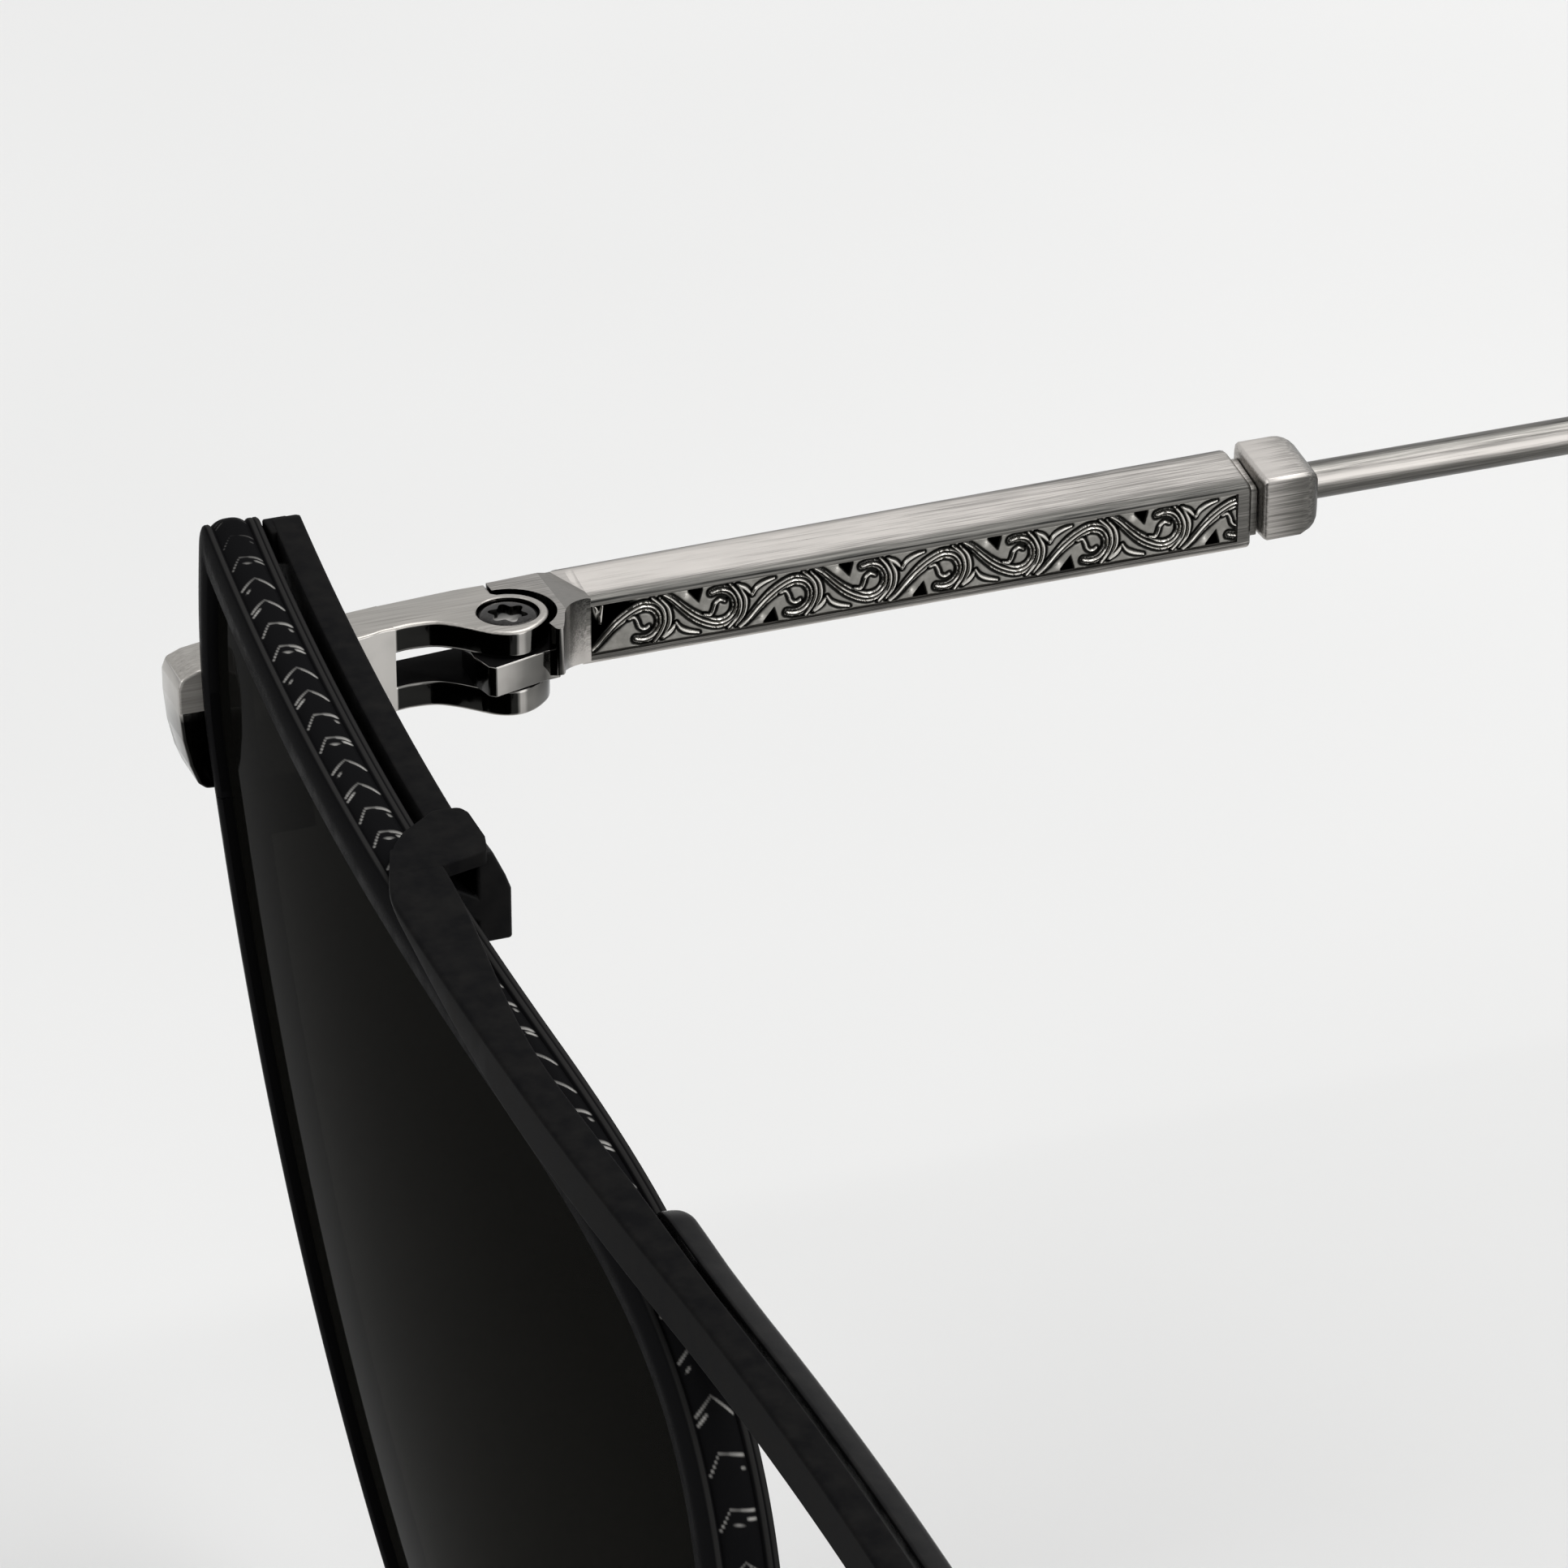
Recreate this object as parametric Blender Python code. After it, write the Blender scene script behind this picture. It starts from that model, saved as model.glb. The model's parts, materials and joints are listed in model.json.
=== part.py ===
"""Metal sunglasses with a brow bar, decorated temples and screw hinges.

Lengths are in metres. Each side is drawn in its own hinge frame: x runs from
the hinge axis towards the nose, y towards the ears of the wearer, and z up
from the top face of the hinge. The wearer's right side lies at negative X.
"""
from math import atan2, ceil, cos, pi, radians, sin, tan

import bmesh
import bpy
from mathutils import Matrix, Vector

# Front: rims and lens surface
RIM_OFFSET = 0.0005
RIM_WIDTH = 0.0570
RIM_TOP = 0.00665
RIM_HEIGHT = 0.04415
BRIDGE_GAP = 0.0150
FRONT_Y = -0.01445
VERTEX_X = 0.0400
VERTEX_Z = 0.0050
CURVE_ACROSS = 0.295
CURVE_UPRIGHT = 0.190
CORNER_RADIUS = 0.0018
RIM_SLIT = 0.00010
SLIT_Z = -0.0043

# Rim wire section
RIM_DEPTH = 0.00207
RIM_WALL = 0.00170
FACET_WIDTH = 0.00085
BAND_RISE = 0.00012
BAND_NOTCH = 0.00010
GROOVE_DEPTH = 0.00045

# Lens
LENS_SETBACK = 0.00045
LENS_THICKNESS = 0.00160
LENS_BEVEL = 0.00040
LENS_CLEARANCE = 0.00005

# Fits
FIT = 0.00005
SEAT_GAP = 0.00005

# How far joined shapes of one piece stand proud of each other
OVERLAP = 0.00002

# Hinge and end piece
HINGE_HEIGHT = 0.0034
EAR_THICKNESS = 0.00105
BOSS_RADIUS = 0.00147
BOSS_SWELL = 0.00025
KNUCKLE_RADIUS = 0.00175
HINGE_OUTER_X = -0.0024
BAR_OUTER_X = -0.0020
BAR_INNER_X = 0.0003
SLOT_FRONT = -0.0042
PIN_RADIUS = 0.0006
SCREW_HEAD_RADIUS = 0.0011
SCREW_HEAD_DEPTH = 0.00050
SCREW_SUNK = 0.00008
RECESS_RADIUS = 0.00055
RECESS_DEPTH = 0.00030

# Front block of the end piece and the rim's closing block
LUMP_FRONT = -0.01220
LUMP_REAR = -0.01030
LUMP_TOP = -0.0004
LUMP_BOTTOM = -0.0049
LUMP_OUTER_X = -0.0018
LOCK_FRONT = -0.01020
LOCK_REAR = -0.0079
LOCK_OUTER_X = -0.0017
LOCK_BOTTOM = -0.0061
LOCK_SCREW_RADIUS = 0.00055
LOCK_HEAD_RADIUS = 0.00090
LOCK_HEAD_DEPTH = 0.00040
LOCK_SCREW_TOP = -0.0020

# Brow bar
BAR_REACH = 0.0034
BAR_GAP = 0.00038
BAR_DEPTH = 0.00105
BAR_HEIGHT = 0.0015
FOOT_LENGTH = 0.0012
SADDLE_X = RIM_OFFSET + 0.442 * RIM_WIDTH
SADDLE_LENGTH = 0.0036
SADDLE_CORNER = 0.0020
SADDLE_RISE = 0.00043
FLANGE = 0.00023
PLATE_THICKNESS = 0.00025
PLATE_DROP = 0.00130
PLATE_MIN = 0.0003
BRIDGE_END_X = RIM_OFFSET + 0.870 * RIM_WIDTH
BRIDGE_ROUND = 0.0012
BRIDGE_HEIGHT = 0.0015
BRIDGE_SPAN_DROP = 0.0012
BRIDGE_FRONT_GAP = 0.00045
BRIDGE_DEPTH = 0.00090
BRACKET_X = SADDLE_X + 0.0009
BRACKET_WIDTH = 0.0019
BRACKET_GAP = 0.0012
BRACKET_DEPTH = 0.00117
BRACKET_DROP = 0.0033

# Temples
FOLD_RELIEF = 0.00006
SHOULDER_START = 0.0020
UNDERCUT_NOSE = -0.00187
UNDERCUT_BLOCK = -0.0030
TEMPLE_NOSE_X = 0.0020
BLOCK_INNER_X = -0.0007
BLOCK_OUTER_X = -0.0035
BLOCK_OUTER_START = -0.0031
BLOCK_TOP = -0.00018
BLOCK_BOTTOM = -0.0031
BLOCK_SLOPE = 0.00045
BLOCK_CHAMFER = 0.00028
BLOCK_START = 0.0033
BLOCK_END = 0.0297
PANEL_START = 0.0036
PANEL_END = 0.0291
PANEL_HEIGHT = 0.00185
PANEL_DEPTH = 0.00013
CAP_START = 0.03005
CAP_END = 0.03245
CAP_TOP = 0.00006
CAP_BOTTOM = -0.00284
CAP_INNER_X = -0.00040
CAP_OUTER_X = -0.00345
CAP_CHAMFER = 0.00042
SPIGOT_INSET = 0.00030
WIRE_X = -0.00205
WIRE_Z = -0.00147
WIRE_RADIUS = 0.000715
WIRE_SOCKET = 0.0016
BEND_START = 0.0900
BEND_RADIUS = 0.0280
BEND_ANGLE = radians(55.0)
TIP_START = 0.0780
TIP_SOCKET = 0.0120
TIP_HALF_THICK = 0.00130
TIP_HALF_TALL = 0.00260
TIP_WALL = 0.00030
TIP_EASE = 0.0060

# Nose pads
PAD_SPAN = 0.0170
PAD_Y = -0.0055
PAD_Z = -0.0150
PAD_HALF_LENGTH = 0.0065
PAD_HALF_WIDTH = 0.0038
PAD_HALF_THICK = 0.00085
PAD_FACING = (0.85, 0.42, -0.25)
PAD_REACH = 0.0023
STEM_HALF = 0.00080
STEM_LENGTH = 0.00140
BOX_LENGTH = 0.00240
BOX_TOP = 0.00090
BOX_HALF = 0.00130
BOX_WALL = 0.00045
BOX_FLOOR = 0.00115
PAD_SCREW_RADIUS = 0.00045
PAD_SCREW_HEAD = 0.00075
PAD_SCREW_CAP = 0.00040
ARM_RADIUS = 0.00050
ARM_SUNK = 0.00030
ARM_ROOT_DROP = 0.0156
ARM_ROOT_INSET = 0.0013
ARM_LEAVES = (0.0005, 0.0042, 0.0022)
ARM_ARRIVES = (-0.0030, 0.0005, 0.0040)

HALF_SPAN = RIM_OFFSET + RIM_WIDTH + BRIDGE_GAP / 2
NASAL_X = RIM_OFFSET + RIM_WIDTH
RIM_BOTTOM = RIM_TOP - RIM_HEIGHT
SIDES = {"right": -1, "left": 1}

# Names of the finishes: colour, roughness, metallic
FINISHES = {
    "brushed_silver": ((0.62, 0.60, 0.57), 0.34, 1.0),
    "satin_black": ((0.030, 0.030, 0.032), 0.45, 0.6),
    "gloss_black": ((0.020, 0.020, 0.022), 0.22, 0.7),
    "smoke_lens": ((0.035, 0.033, 0.031), 0.05, 0.0),
    "dark_screw": ((0.22, 0.20, 0.19), 0.28, 1.0),
    "clear_pad": ((0.80, 0.80, 0.78), 0.25, 0.0),
    "dark_tip": ((0.030, 0.028, 0.028), 0.30, 0.0),
}

# Outline of the rim, clockwise from the slit: fractions of its width and
# height from the outer top corner, the tangent, and the lengths of the two
# handles as fractions of the width.
RIM_KNOTS = (
    ((0.0197, 0.2469), (-0.37, 0.93), 0.000, 0.022),
    ((0.0004, 0.164), (0.0, 1.0), 0.022, 0.030),
    ((0.0153, 0.0487), (0.27, 0.963), 0.030, 0.000),
    ((0.0790, -0.0063), (1.0, -0.012), 0.000, 0.120),
    ((0.4250, -0.0002), (1.0, -0.003), 0.110, 0.090),
    ((0.6930, 0.0000), (1.0, -0.006), 0.090, 0.225),
    ((1.0000, 0.275), (0.0, -1.0), 0.158, 0.123),
    ((0.9120, 0.694), (-0.45, -0.90), 0.123, 0.175),
    ((0.5260, 1.0000), (-1.0, 0.0), 0.210, 0.000),
    ((0.4730, 1.0000), (-1.0, 0.0), 0.000, 0.225),
    ((0.1490, 0.671), (-0.38, 0.925), 0.158, 0.117),
    ((0.0214, 0.2492), (-0.37, 0.93), 0.117, 0.000),
)
RIM_STEPS = (2, 3, 0, 7, 5, 11, 8, 10, 1, 10, 8)
CORNER_STEPS = 6


def clear_scene():
    """Remove the objects of the open scene."""
    for obj in list(bpy.data.objects):
        bpy.data.objects.remove(obj, do_unlink=True)


def make_material(name):
    """Return the named finish as a Principled material."""
    colour, roughness, metallic = FINISHES[name]
    material = bpy.data.materials.get(name) or bpy.data.materials.new(name)
    material.use_nodes = True
    shader = material.node_tree.nodes["Principled BSDF"]
    shader.inputs["Base Color"].default_value = (*colour, 1.0)
    shader.inputs["Roughness"].default_value = roughness
    shader.inputs["Metallic"].default_value = metallic
    material.diffuse_color = (*colour, 1.0)
    return material


def place(side, point):
    """Turn a point of the hinge frame into one of the whole object."""
    return Vector((SIDES[side] * (HALF_SPAN - point[0]), point[1], point[2]))


def pivot(name, side, point):
    """Return the empty that stands on a moving piece's axis."""
    empty = bpy.data.objects.new(name + "_axis", None)
    empty.empty_display_size = 0.004
    empty.location = place(side, point)
    bpy.context.scene.collection.objects.link(empty)
    return empty


def add_object(name, bm, side, finish, parent=None, smooth=30.0):
    """Make one object from a mesh drawn in the hinge frame of a side."""
    origin = parent.location if parent else Vector()
    if side:
        for vert in bm.verts:
            vert.co = place(side, vert.co) - origin
        if SIDES[side] > 0:
            bmesh.ops.reverse_faces(bm, faces=bm.faces[:])
    mesh = bpy.data.meshes.new(name)
    bm.to_mesh(mesh)
    bm.free()
    mesh.shade_smooth()
    mesh.set_sharp_from_angle(angle=radians(smooth))
    mesh.materials.append(make_material(finish))
    obj = bpy.data.objects.new(name, mesh)
    obj.parent = parent
    bpy.context.scene.collection.objects.link(obj)
    return obj


def combine(obj, bm, side, operation):
    """Add or cut a shape drawn in the hinge frame with a Boolean modifier."""
    cutter = add_object(obj.name + "_" + operation.lower(), bm, side, "dark_screw", obj.parent)
    cutter.hide_render = True
    cutter.display_type = "WIRE"
    modifier = obj.modifiers.new(operation.title(), "BOOLEAN")
    modifier.operation = operation
    modifier.solver = "EXACT"
    modifier.object = cutter
    return obj


def sweep(rings):
    """Extrude the first ring's face through the others and close both ends."""
    bm = bmesh.new()
    face = bm.faces.new([bm.verts.new(point) for point in rings[0]])
    for index, ring in enumerate(rings[1:]):
        passed = face
        grown = bmesh.ops.extrude_face_region(bm, geom=[face])
        face = next(item for item in grown["geom"] if isinstance(item, bmesh.types.BMFace))
        for vert, point in zip(face.verts, ring):
            vert.co = point
        if index:
            bmesh.ops.delete(bm, geom=[passed], context="FACES_ONLY")
    bmesh.ops.recalc_face_normals(bm, faces=bm.faces[:])
    return bm


def plan_slab(points, low, high):
    """Extrude a plan outline between two heights."""
    return sweep([[(x, y, z) for x, y in points] for z in (low, high)])


def side_slab(points, near, far):
    """Extrude an outline in y and z between two places along x."""
    return sweep([[(x, y, z) for y, z in points] for x in (near, far)])


def front_slab(points, near, far):
    """Extrude an outline in x and z between two depths."""
    return sweep([[(x, y, z) for x, z in points] for y in (near, far)])


def box(low, high):
    """Return a box between two corners."""
    plan = [(low[0], low[1]), (high[0], low[1]), (high[0], high[1]), (low[0], high[1])]
    return plan_slab(plan, low[2], high[2])


def turned(axis_point, profile, count=20, axis="Z"):
    """Turn a profile of (radius, height) about an upright axis."""
    rings = []
    for radius, height in profile:
        ring = []
        for step in range(count):
            angle = 2 * pi * step / count
            ring.append(Vector((radius * cos(angle), radius * sin(angle), height)))
        rings.append(ring)
    bm = sweep(rings)
    turn = Matrix.Identity(4) if axis == "Z" else Matrix.Rotation(-pi / 2, 4, "X")
    bmesh.ops.transform(bm, matrix=Matrix.Translation(axis_point) @ turn, verts=bm.verts)
    return bm


def arc(centre, radius, start, end, count):
    """Return points of an arc in plan; the angles are in degrees."""
    points = []
    for step in range(count + 1):
        angle = radians(start + (end - start) * step / count)
        points.append((centre[0] + radius * cos(angle), centre[1] + radius * sin(angle)))
    return points


def smoothstep(low, high, value):
    """Rise smoothly from 0 at low to 1 at high."""
    share = min(1.0, max(0.0, (value - low) / (high - low)))
    return share * share * (3 - 2 * share)


def bezier(p0, p1, p2, p3, t):
    """Return a point of a cubic curve."""
    return (1 - t) ** 3 * p0 + 3 * (1 - t) ** 2 * t * p1 + 3 * (1 - t) * t * t * p2 + t ** 3 * p3


def bezier_slope(p0, p1, p2, p3, t):
    """Return the direction of a cubic curve."""
    slope = (1 - t) ** 2 * (p1 - p0) + 2 * (1 - t) * t * (p2 - p1) + t * t * (p3 - p2)
    return slope.normalized()


def front_y(x, z):
    """Return the depth of the front's curved surface."""
    across = (x - VERTEX_X) ** 2 / (2 * CURVE_ACROSS)
    upright = (z - VERTEX_Z) ** 2 / (2 * CURVE_UPRIGHT)
    return FRONT_Y + across + upright


def knot_point(knot):
    """Return a knot of the rim in the hinge frame, as x and z."""
    share_x, share_z = knot[0]
    return Vector((RIM_OFFSET + share_x * RIM_WIDTH, RIM_TOP - share_z * RIM_HEIGHT))


def rim_corner(start, start_slope, end, end_slope, offset):
    """Round the outer top corner between two straight stretches."""
    start = start + offset * Vector((-start_slope.y, start_slope.x))
    end = end + offset * Vector((-end_slope.y, end_slope.x))
    cross = start_slope.x * end_slope.y - start_slope.y * end_slope.x
    gap = end - start
    reach = (gap.x * end_slope.y - gap.y * end_slope.x) / cross
    corner = start + reach * start_slope
    turn = atan2(cross, start_slope.dot(end_slope))
    radius = max(CORNER_RADIUS + offset, 0.15 * CORNER_RADIUS)
    tangent = radius * tan(abs(turn) / 2)
    first = corner - tangent * start_slope
    centre = first + radius * Vector((start_slope.y, -start_slope.x))
    points = []
    for step in range(CORNER_STEPS + 1):
        angle = turn * step / CORNER_STEPS
        arm = first - centre
        across = arm.x * cos(angle) - arm.y * sin(angle)
        points.append(centre + Vector((across, arm.x * sin(angle) + arm.y * cos(angle))))
    return points


def rim_outline(offset):
    """Return the rim's outline in x and z, moved outwards by offset."""
    points = []
    for knot, following, steps in zip(RIM_KNOTS, RIM_KNOTS[1:], RIM_STEPS):
        start = knot_point(knot)
        end = knot_point(following)
        start_slope = Vector(knot[1]).normalized()
        end_slope = Vector(following[1]).normalized()
        if steps == 0:
            points += rim_corner(start, start_slope, end, end_slope, offset)
            continue
        control_1 = start + knot[3] * RIM_WIDTH * start_slope
        control_2 = end - following[2] * RIM_WIDTH * end_slope
        if steps == 1:
            control_1 = start
            control_2 = end
        for step in range(steps):
            t = step / steps
            point = bezier(start, control_1, control_2, end, t)
            slope = start_slope
            if steps > 1:
                slope = bezier_slope(start, control_1, control_2, end, max(t, 0.001))
            points.append(point + offset * Vector((-slope.y, slope.x)))
    last = knot_point(RIM_KNOTS[-1])
    slope = Vector(RIM_KNOTS[-1][1]).normalized()
    points.append(last + offset * Vector((-slope.y, slope.x)))
    return points


def brow_z(x):
    """Return the height of the rim's upper edge at a place along x."""
    points = rim_outline(0.0)
    top = [p for p in points if p.y > RIM_TOP - 0.5 * RIM_HEIGHT]
    for left, right in zip(top, top[1:]):
        if left.x <= x <= right.x and right.x > left.x:
            share = (x - left.x) / (right.x - left.x)
            return left.y + share * (right.y - left.y)
    return top[-1].y


def limb_x(z):
    """Return where the closing block meets the rim's outer limb at a height."""
    points = rim_outline(BAND_RISE + SEAT_GAP)
    limb = [p for p in points if p.x < 0.5 * RIM_WIDTH and p.y < RIM_TOP - 0.05 * RIM_HEIGHT]
    limb.sort(key=lambda p: p.y)
    for lower, upper in zip(limb, limb[1:]):
        if lower.y <= z <= upper.y:
            return lower.x + (z - lower.y) / (upper.y - lower.y) * (upper.x - lower.x)
    return limb[-1].x


def surface_point(point, depth):
    """Lift a point of the outline to a depth behind the front's surface."""
    return Vector((point.x, front_y(point.x, point.y) + depth, point.y))


def rim_section():
    """Return the rim wire's section as (depth, outward) pairs."""
    groove_mid = 0.49 * RIM_DEPTH
    groove_half = GROOVE_DEPTH
    return (
        (0.05 * RIM_DEPTH, 0.0),
        (0.14 * RIM_DEPTH, 0.0),
        (0.18 * RIM_DEPTH, -BAND_NOTCH),
        (0.37 * RIM_DEPTH, BAND_RISE),
        (0.58 * RIM_DEPTH, BAND_RISE),
        (0.77 * RIM_DEPTH, -BAND_NOTCH),
        (0.80 * RIM_DEPTH, 0.0),
        (RIM_DEPTH, 0.0),
        (RIM_DEPTH, -RIM_WALL),
        (groove_mid + groove_half, -RIM_WALL),
        (groove_mid, GROOVE_DEPTH - RIM_WALL),
        (groove_mid - groove_half, -RIM_WALL),
        (0.03 * RIM_DEPTH, -RIM_WALL),
        (0.0, -FACET_WIDTH),
    )


def make_rim(side):
    """Build one rim wire, open at its closing slit."""
    section = rim_section()
    columns = [(depth, rim_outline(outward)) for depth, outward in section]
    count = len(columns[0][1])
    rings = [[surface_point(points[i], depth) for depth, points in columns] for i in range(count)]
    return add_object("rim_" + side, sweep(rings), side, "gloss_black", smooth=35.0)


def make_lens(side):
    """Build one curved lens with a bevelled edge in the rim's groove."""
    edge = rim_outline(-RIM_WALL - LENS_CLEARANCE)
    apex = rim_outline(-RIM_WALL - LENS_CLEARANCE + LENS_BEVEL)
    middle = 0.49 * RIM_DEPTH
    rear = LENS_SETBACK + LENS_THICKNESS
    centre = sum(edge, Vector((0.0, 0.0))) / len(edge)
    rings = []
    shares = (0.25, 0.5, 0.75)
    for share in shares:
        rings.append([surface_point(centre.lerp(p, share), LENS_SETBACK) for p in edge])
    rings.append([surface_point(p, LENS_SETBACK) for p in edge])
    rings.append([surface_point(p, middle - LENS_BEVEL) for p in edge])
    rings.append([surface_point(p, middle) for p in apex])
    rings.append([surface_point(p, middle + LENS_BEVEL) for p in edge])
    rings.append([surface_point(p, rear) for p in edge])
    for share in reversed(shares):
        rings.append([surface_point(centre.lerp(p, share), rear) for p in edge])
    bm = sweep(rings)
    bm.faces.ensure_lookup_table()
    ends = [face for face in bm.faces if len(face.verts) > 4]
    for face, depth in zip(sorted(ends, key=lambda f: f.calc_center_median().y), (LENS_SETBACK, rear)):
        poked = bmesh.ops.poke(bm, faces=[face])
        poked["verts"][0].co = surface_point(centre, depth)
    return add_object("lens_" + side, bm, side, "smoke_lens", smooth=25.0)


def rim_rear(x, z):
    """Return the depth of the rim's rear face."""
    return front_y(x, z) + RIM_DEPTH


def end_piece_plan():
    """Return the plan of the end piece: bar, stop face, boss and neck."""
    neck = SLOT_FRONT
    points = [
        (BAR_OUTER_X, LUMP_REAR - SEAT_GAP * 10),
        (BAR_OUTER_X, 1.3 * neck),
        (HINGE_OUTER_X, 0.06 * neck),
        (HINGE_OUTER_X, -SEAT_GAP),
        (-BOSS_RADIUS, -SEAT_GAP),
    ]
    for step in range(19):
        angle = 176.0 - 226.0 * step / 18
        radius = BOSS_RADIUS + BOSS_SWELL * (1 - smoothstep(-20.0, 45.0, angle))
        points.append((radius * cos(radians(angle)), radius * sin(radians(angle))))
    shoulder = BOSS_RADIUS + BOSS_SWELL
    points += [
        (0.40 * shoulder, -1.05 * shoulder),
        (0.14 * shoulder, -1.27 * shoulder),
        (-0.08 * shoulder, -1.62 * shoulder),
        (-0.14 * shoulder, 0.88 * neck),
        (-0.08 * shoulder, 1.02 * neck),
        (0.05 * shoulder, 1.33 * neck),
        (BAR_INNER_X, LUMP_REAR - SEAT_GAP * 10),
    ]
    return points


def lump_profile():
    """Return the side outline of the end piece's front block."""
    length = LUMP_REAR - LUMP_FRONT
    height = LUMP_TOP - LUMP_BOTTOM
    return (
        (LUMP_REAR, 0.0),
        (LUMP_FRONT + 0.74 * length, 0.0),
        (LUMP_FRONT + 0.34 * length, 0.45 * LUMP_TOP),
        (LUMP_FRONT + 0.12 * length, 0.80 * LUMP_TOP),
        (LUMP_FRONT + 0.01 * length, LUMP_TOP - 0.08 * height),
        (LUMP_FRONT, LUMP_TOP - 0.24 * height),
        (LUMP_FRONT + 0.06 * length, LUMP_TOP - 0.53 * height),
        (LUMP_FRONT + 0.18 * length, LUMP_TOP - 0.77 * height),
        (LUMP_FRONT + 0.31 * length, LUMP_TOP - 0.93 * height),
        (LUMP_FRONT + 0.45 * length, LUMP_TOP - 0.99 * height),
        (LUMP_FRONT + 0.62 * length, LUMP_BOTTOM),
        (LUMP_REAR, LUMP_BOTTOM),
    )


def make_end_piece(side):
    """Build the end piece with its front block, ears and closing block."""
    slab = plan_slab(end_piece_plan(), -HINGE_HEIGHT, 0.0)
    piece = add_object("end_piece_" + side, slab, side, "brushed_silver")
    lump = side_slab(lump_profile(), LUMP_OUTER_X, BAR_INNER_X)
    combine(piece, lump, side, "UNION")
    upper = front_slab(lock_outline(SLIT_Z + RIM_SLIT / 2, -0.5 * HINGE_HEIGHT), LOCK_FRONT, LOCK_REAR)
    combine(piece, upper, side, "UNION")
    slot = box((2 * HINGE_OUTER_X, SLOT_FRONT, EAR_THICKNESS - HINGE_HEIGHT),
               (2 * KNUCKLE_RADIUS, 2 * KNUCKLE_RADIUS, -EAR_THICKNESS))
    combine(piece, slot, side, "DIFFERENCE")
    hole = turned((0.0, 0.0, 0.0), (
        (PIN_RADIUS + FIT, -2 * HINGE_HEIGHT),
        (PIN_RADIUS + FIT, -SCREW_SUNK - SCREW_HEAD_DEPTH - FIT),
        (SCREW_HEAD_RADIUS + FIT, -SCREW_SUNK - SCREW_HEAD_DEPTH - FIT),
        (SCREW_HEAD_RADIUS + FIT, HINGE_HEIGHT),
    ))
    combine(piece, hole, side, "DIFFERENCE")
    combine(piece, lock_bore(), side, "DIFFERENCE")
    return piece


def lock_outline(low, high):
    """Return the closing block's outline in x and z between two heights."""
    outline = [(LOCK_OUTER_X, high), (LOCK_OUTER_X, low)]
    for share in (0.0, 0.5, 1.0):
        level = low + share * (high - low)
        outline.append((limb_x(level), level))
    return outline


def lock_centre():
    """Return the place of the closing screw in plan."""
    return ((LOCK_OUTER_X + limb_x(SLIT_Z)) / 2, (LOCK_FRONT + LOCK_REAR) / 2)


def lock_bore():
    """Return the cutter of the closing screw's hole."""
    x, y = lock_centre()
    radius = LOCK_SCREW_RADIUS + FIT
    return turned((x, y, 0.0), ((radius, 2 * LOCK_BOTTOM), (radius, LOCK_SCREW_TOP + FIT)), 14)


def make_rim_lock(side):
    """Build the lower half of the closing block."""
    slab = front_slab(lock_outline(LOCK_BOTTOM, SLIT_Z - RIM_SLIT / 2), LOCK_FRONT, LOCK_REAR)
    piece = add_object("rim_lock_" + side, slab, side, "gloss_black")
    return combine(piece, lock_bore(), side, "DIFFERENCE")


def screw_slot(length, depth, width):
    """Return the cutter of a driver's slot, centred on the origin."""
    return box((-length, -width / 2, -depth), (length, width / 2, depth))


def make_lock_screw(side):
    """Build the screw that closes the rim."""
    x, y = lock_centre()
    seat = LOCK_BOTTOM - SEAT_GAP
    profile = (
        (0.8 * LOCK_HEAD_RADIUS, seat - LOCK_HEAD_DEPTH),
        (LOCK_HEAD_RADIUS, seat - 0.6 * LOCK_HEAD_DEPTH),
        (LOCK_HEAD_RADIUS, seat),
        (LOCK_SCREW_RADIUS, seat),
        (LOCK_SCREW_RADIUS, LOCK_SCREW_TOP),
    )
    piece = add_object("lock_screw_" + side, turned((x, y, 0.0), profile, 14), side, "dark_screw")
    slot = screw_slot(2 * LOCK_HEAD_RADIUS, 0.4 * LOCK_HEAD_DEPTH, 0.3 * LOCK_HEAD_RADIUS)
    bmesh.ops.translate(slot, vec=(x, y, seat - LOCK_HEAD_DEPTH), verts=slot.verts)
    return combine(piece, slot, side, "DIFFERENCE")


def make_hinge_screw(side):
    """Build the hinge screw with its sunk head and key recess."""
    top = -SCREW_SUNK
    profile = (
        (PIN_RADIUS, -HINGE_HEIGHT + FIT),
        (PIN_RADIUS, top - SCREW_HEAD_DEPTH),
        (SCREW_HEAD_RADIUS, top - SCREW_HEAD_DEPTH),
        (SCREW_HEAD_RADIUS, top - 0.3 * SCREW_HEAD_DEPTH),
        (0.88 * SCREW_HEAD_RADIUS, top),
    )
    piece = add_object("hinge_screw_" + side, turned((0.0, 0.0, 0.0), profile), side, "dark_screw")
    recess = turned((0.0, 0.0, top), ((RECESS_RADIUS, -RECESS_DEPTH), (RECESS_RADIUS, RECESS_DEPTH)), 6)
    return combine(piece, recess, side, "DIFFERENCE")


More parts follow.
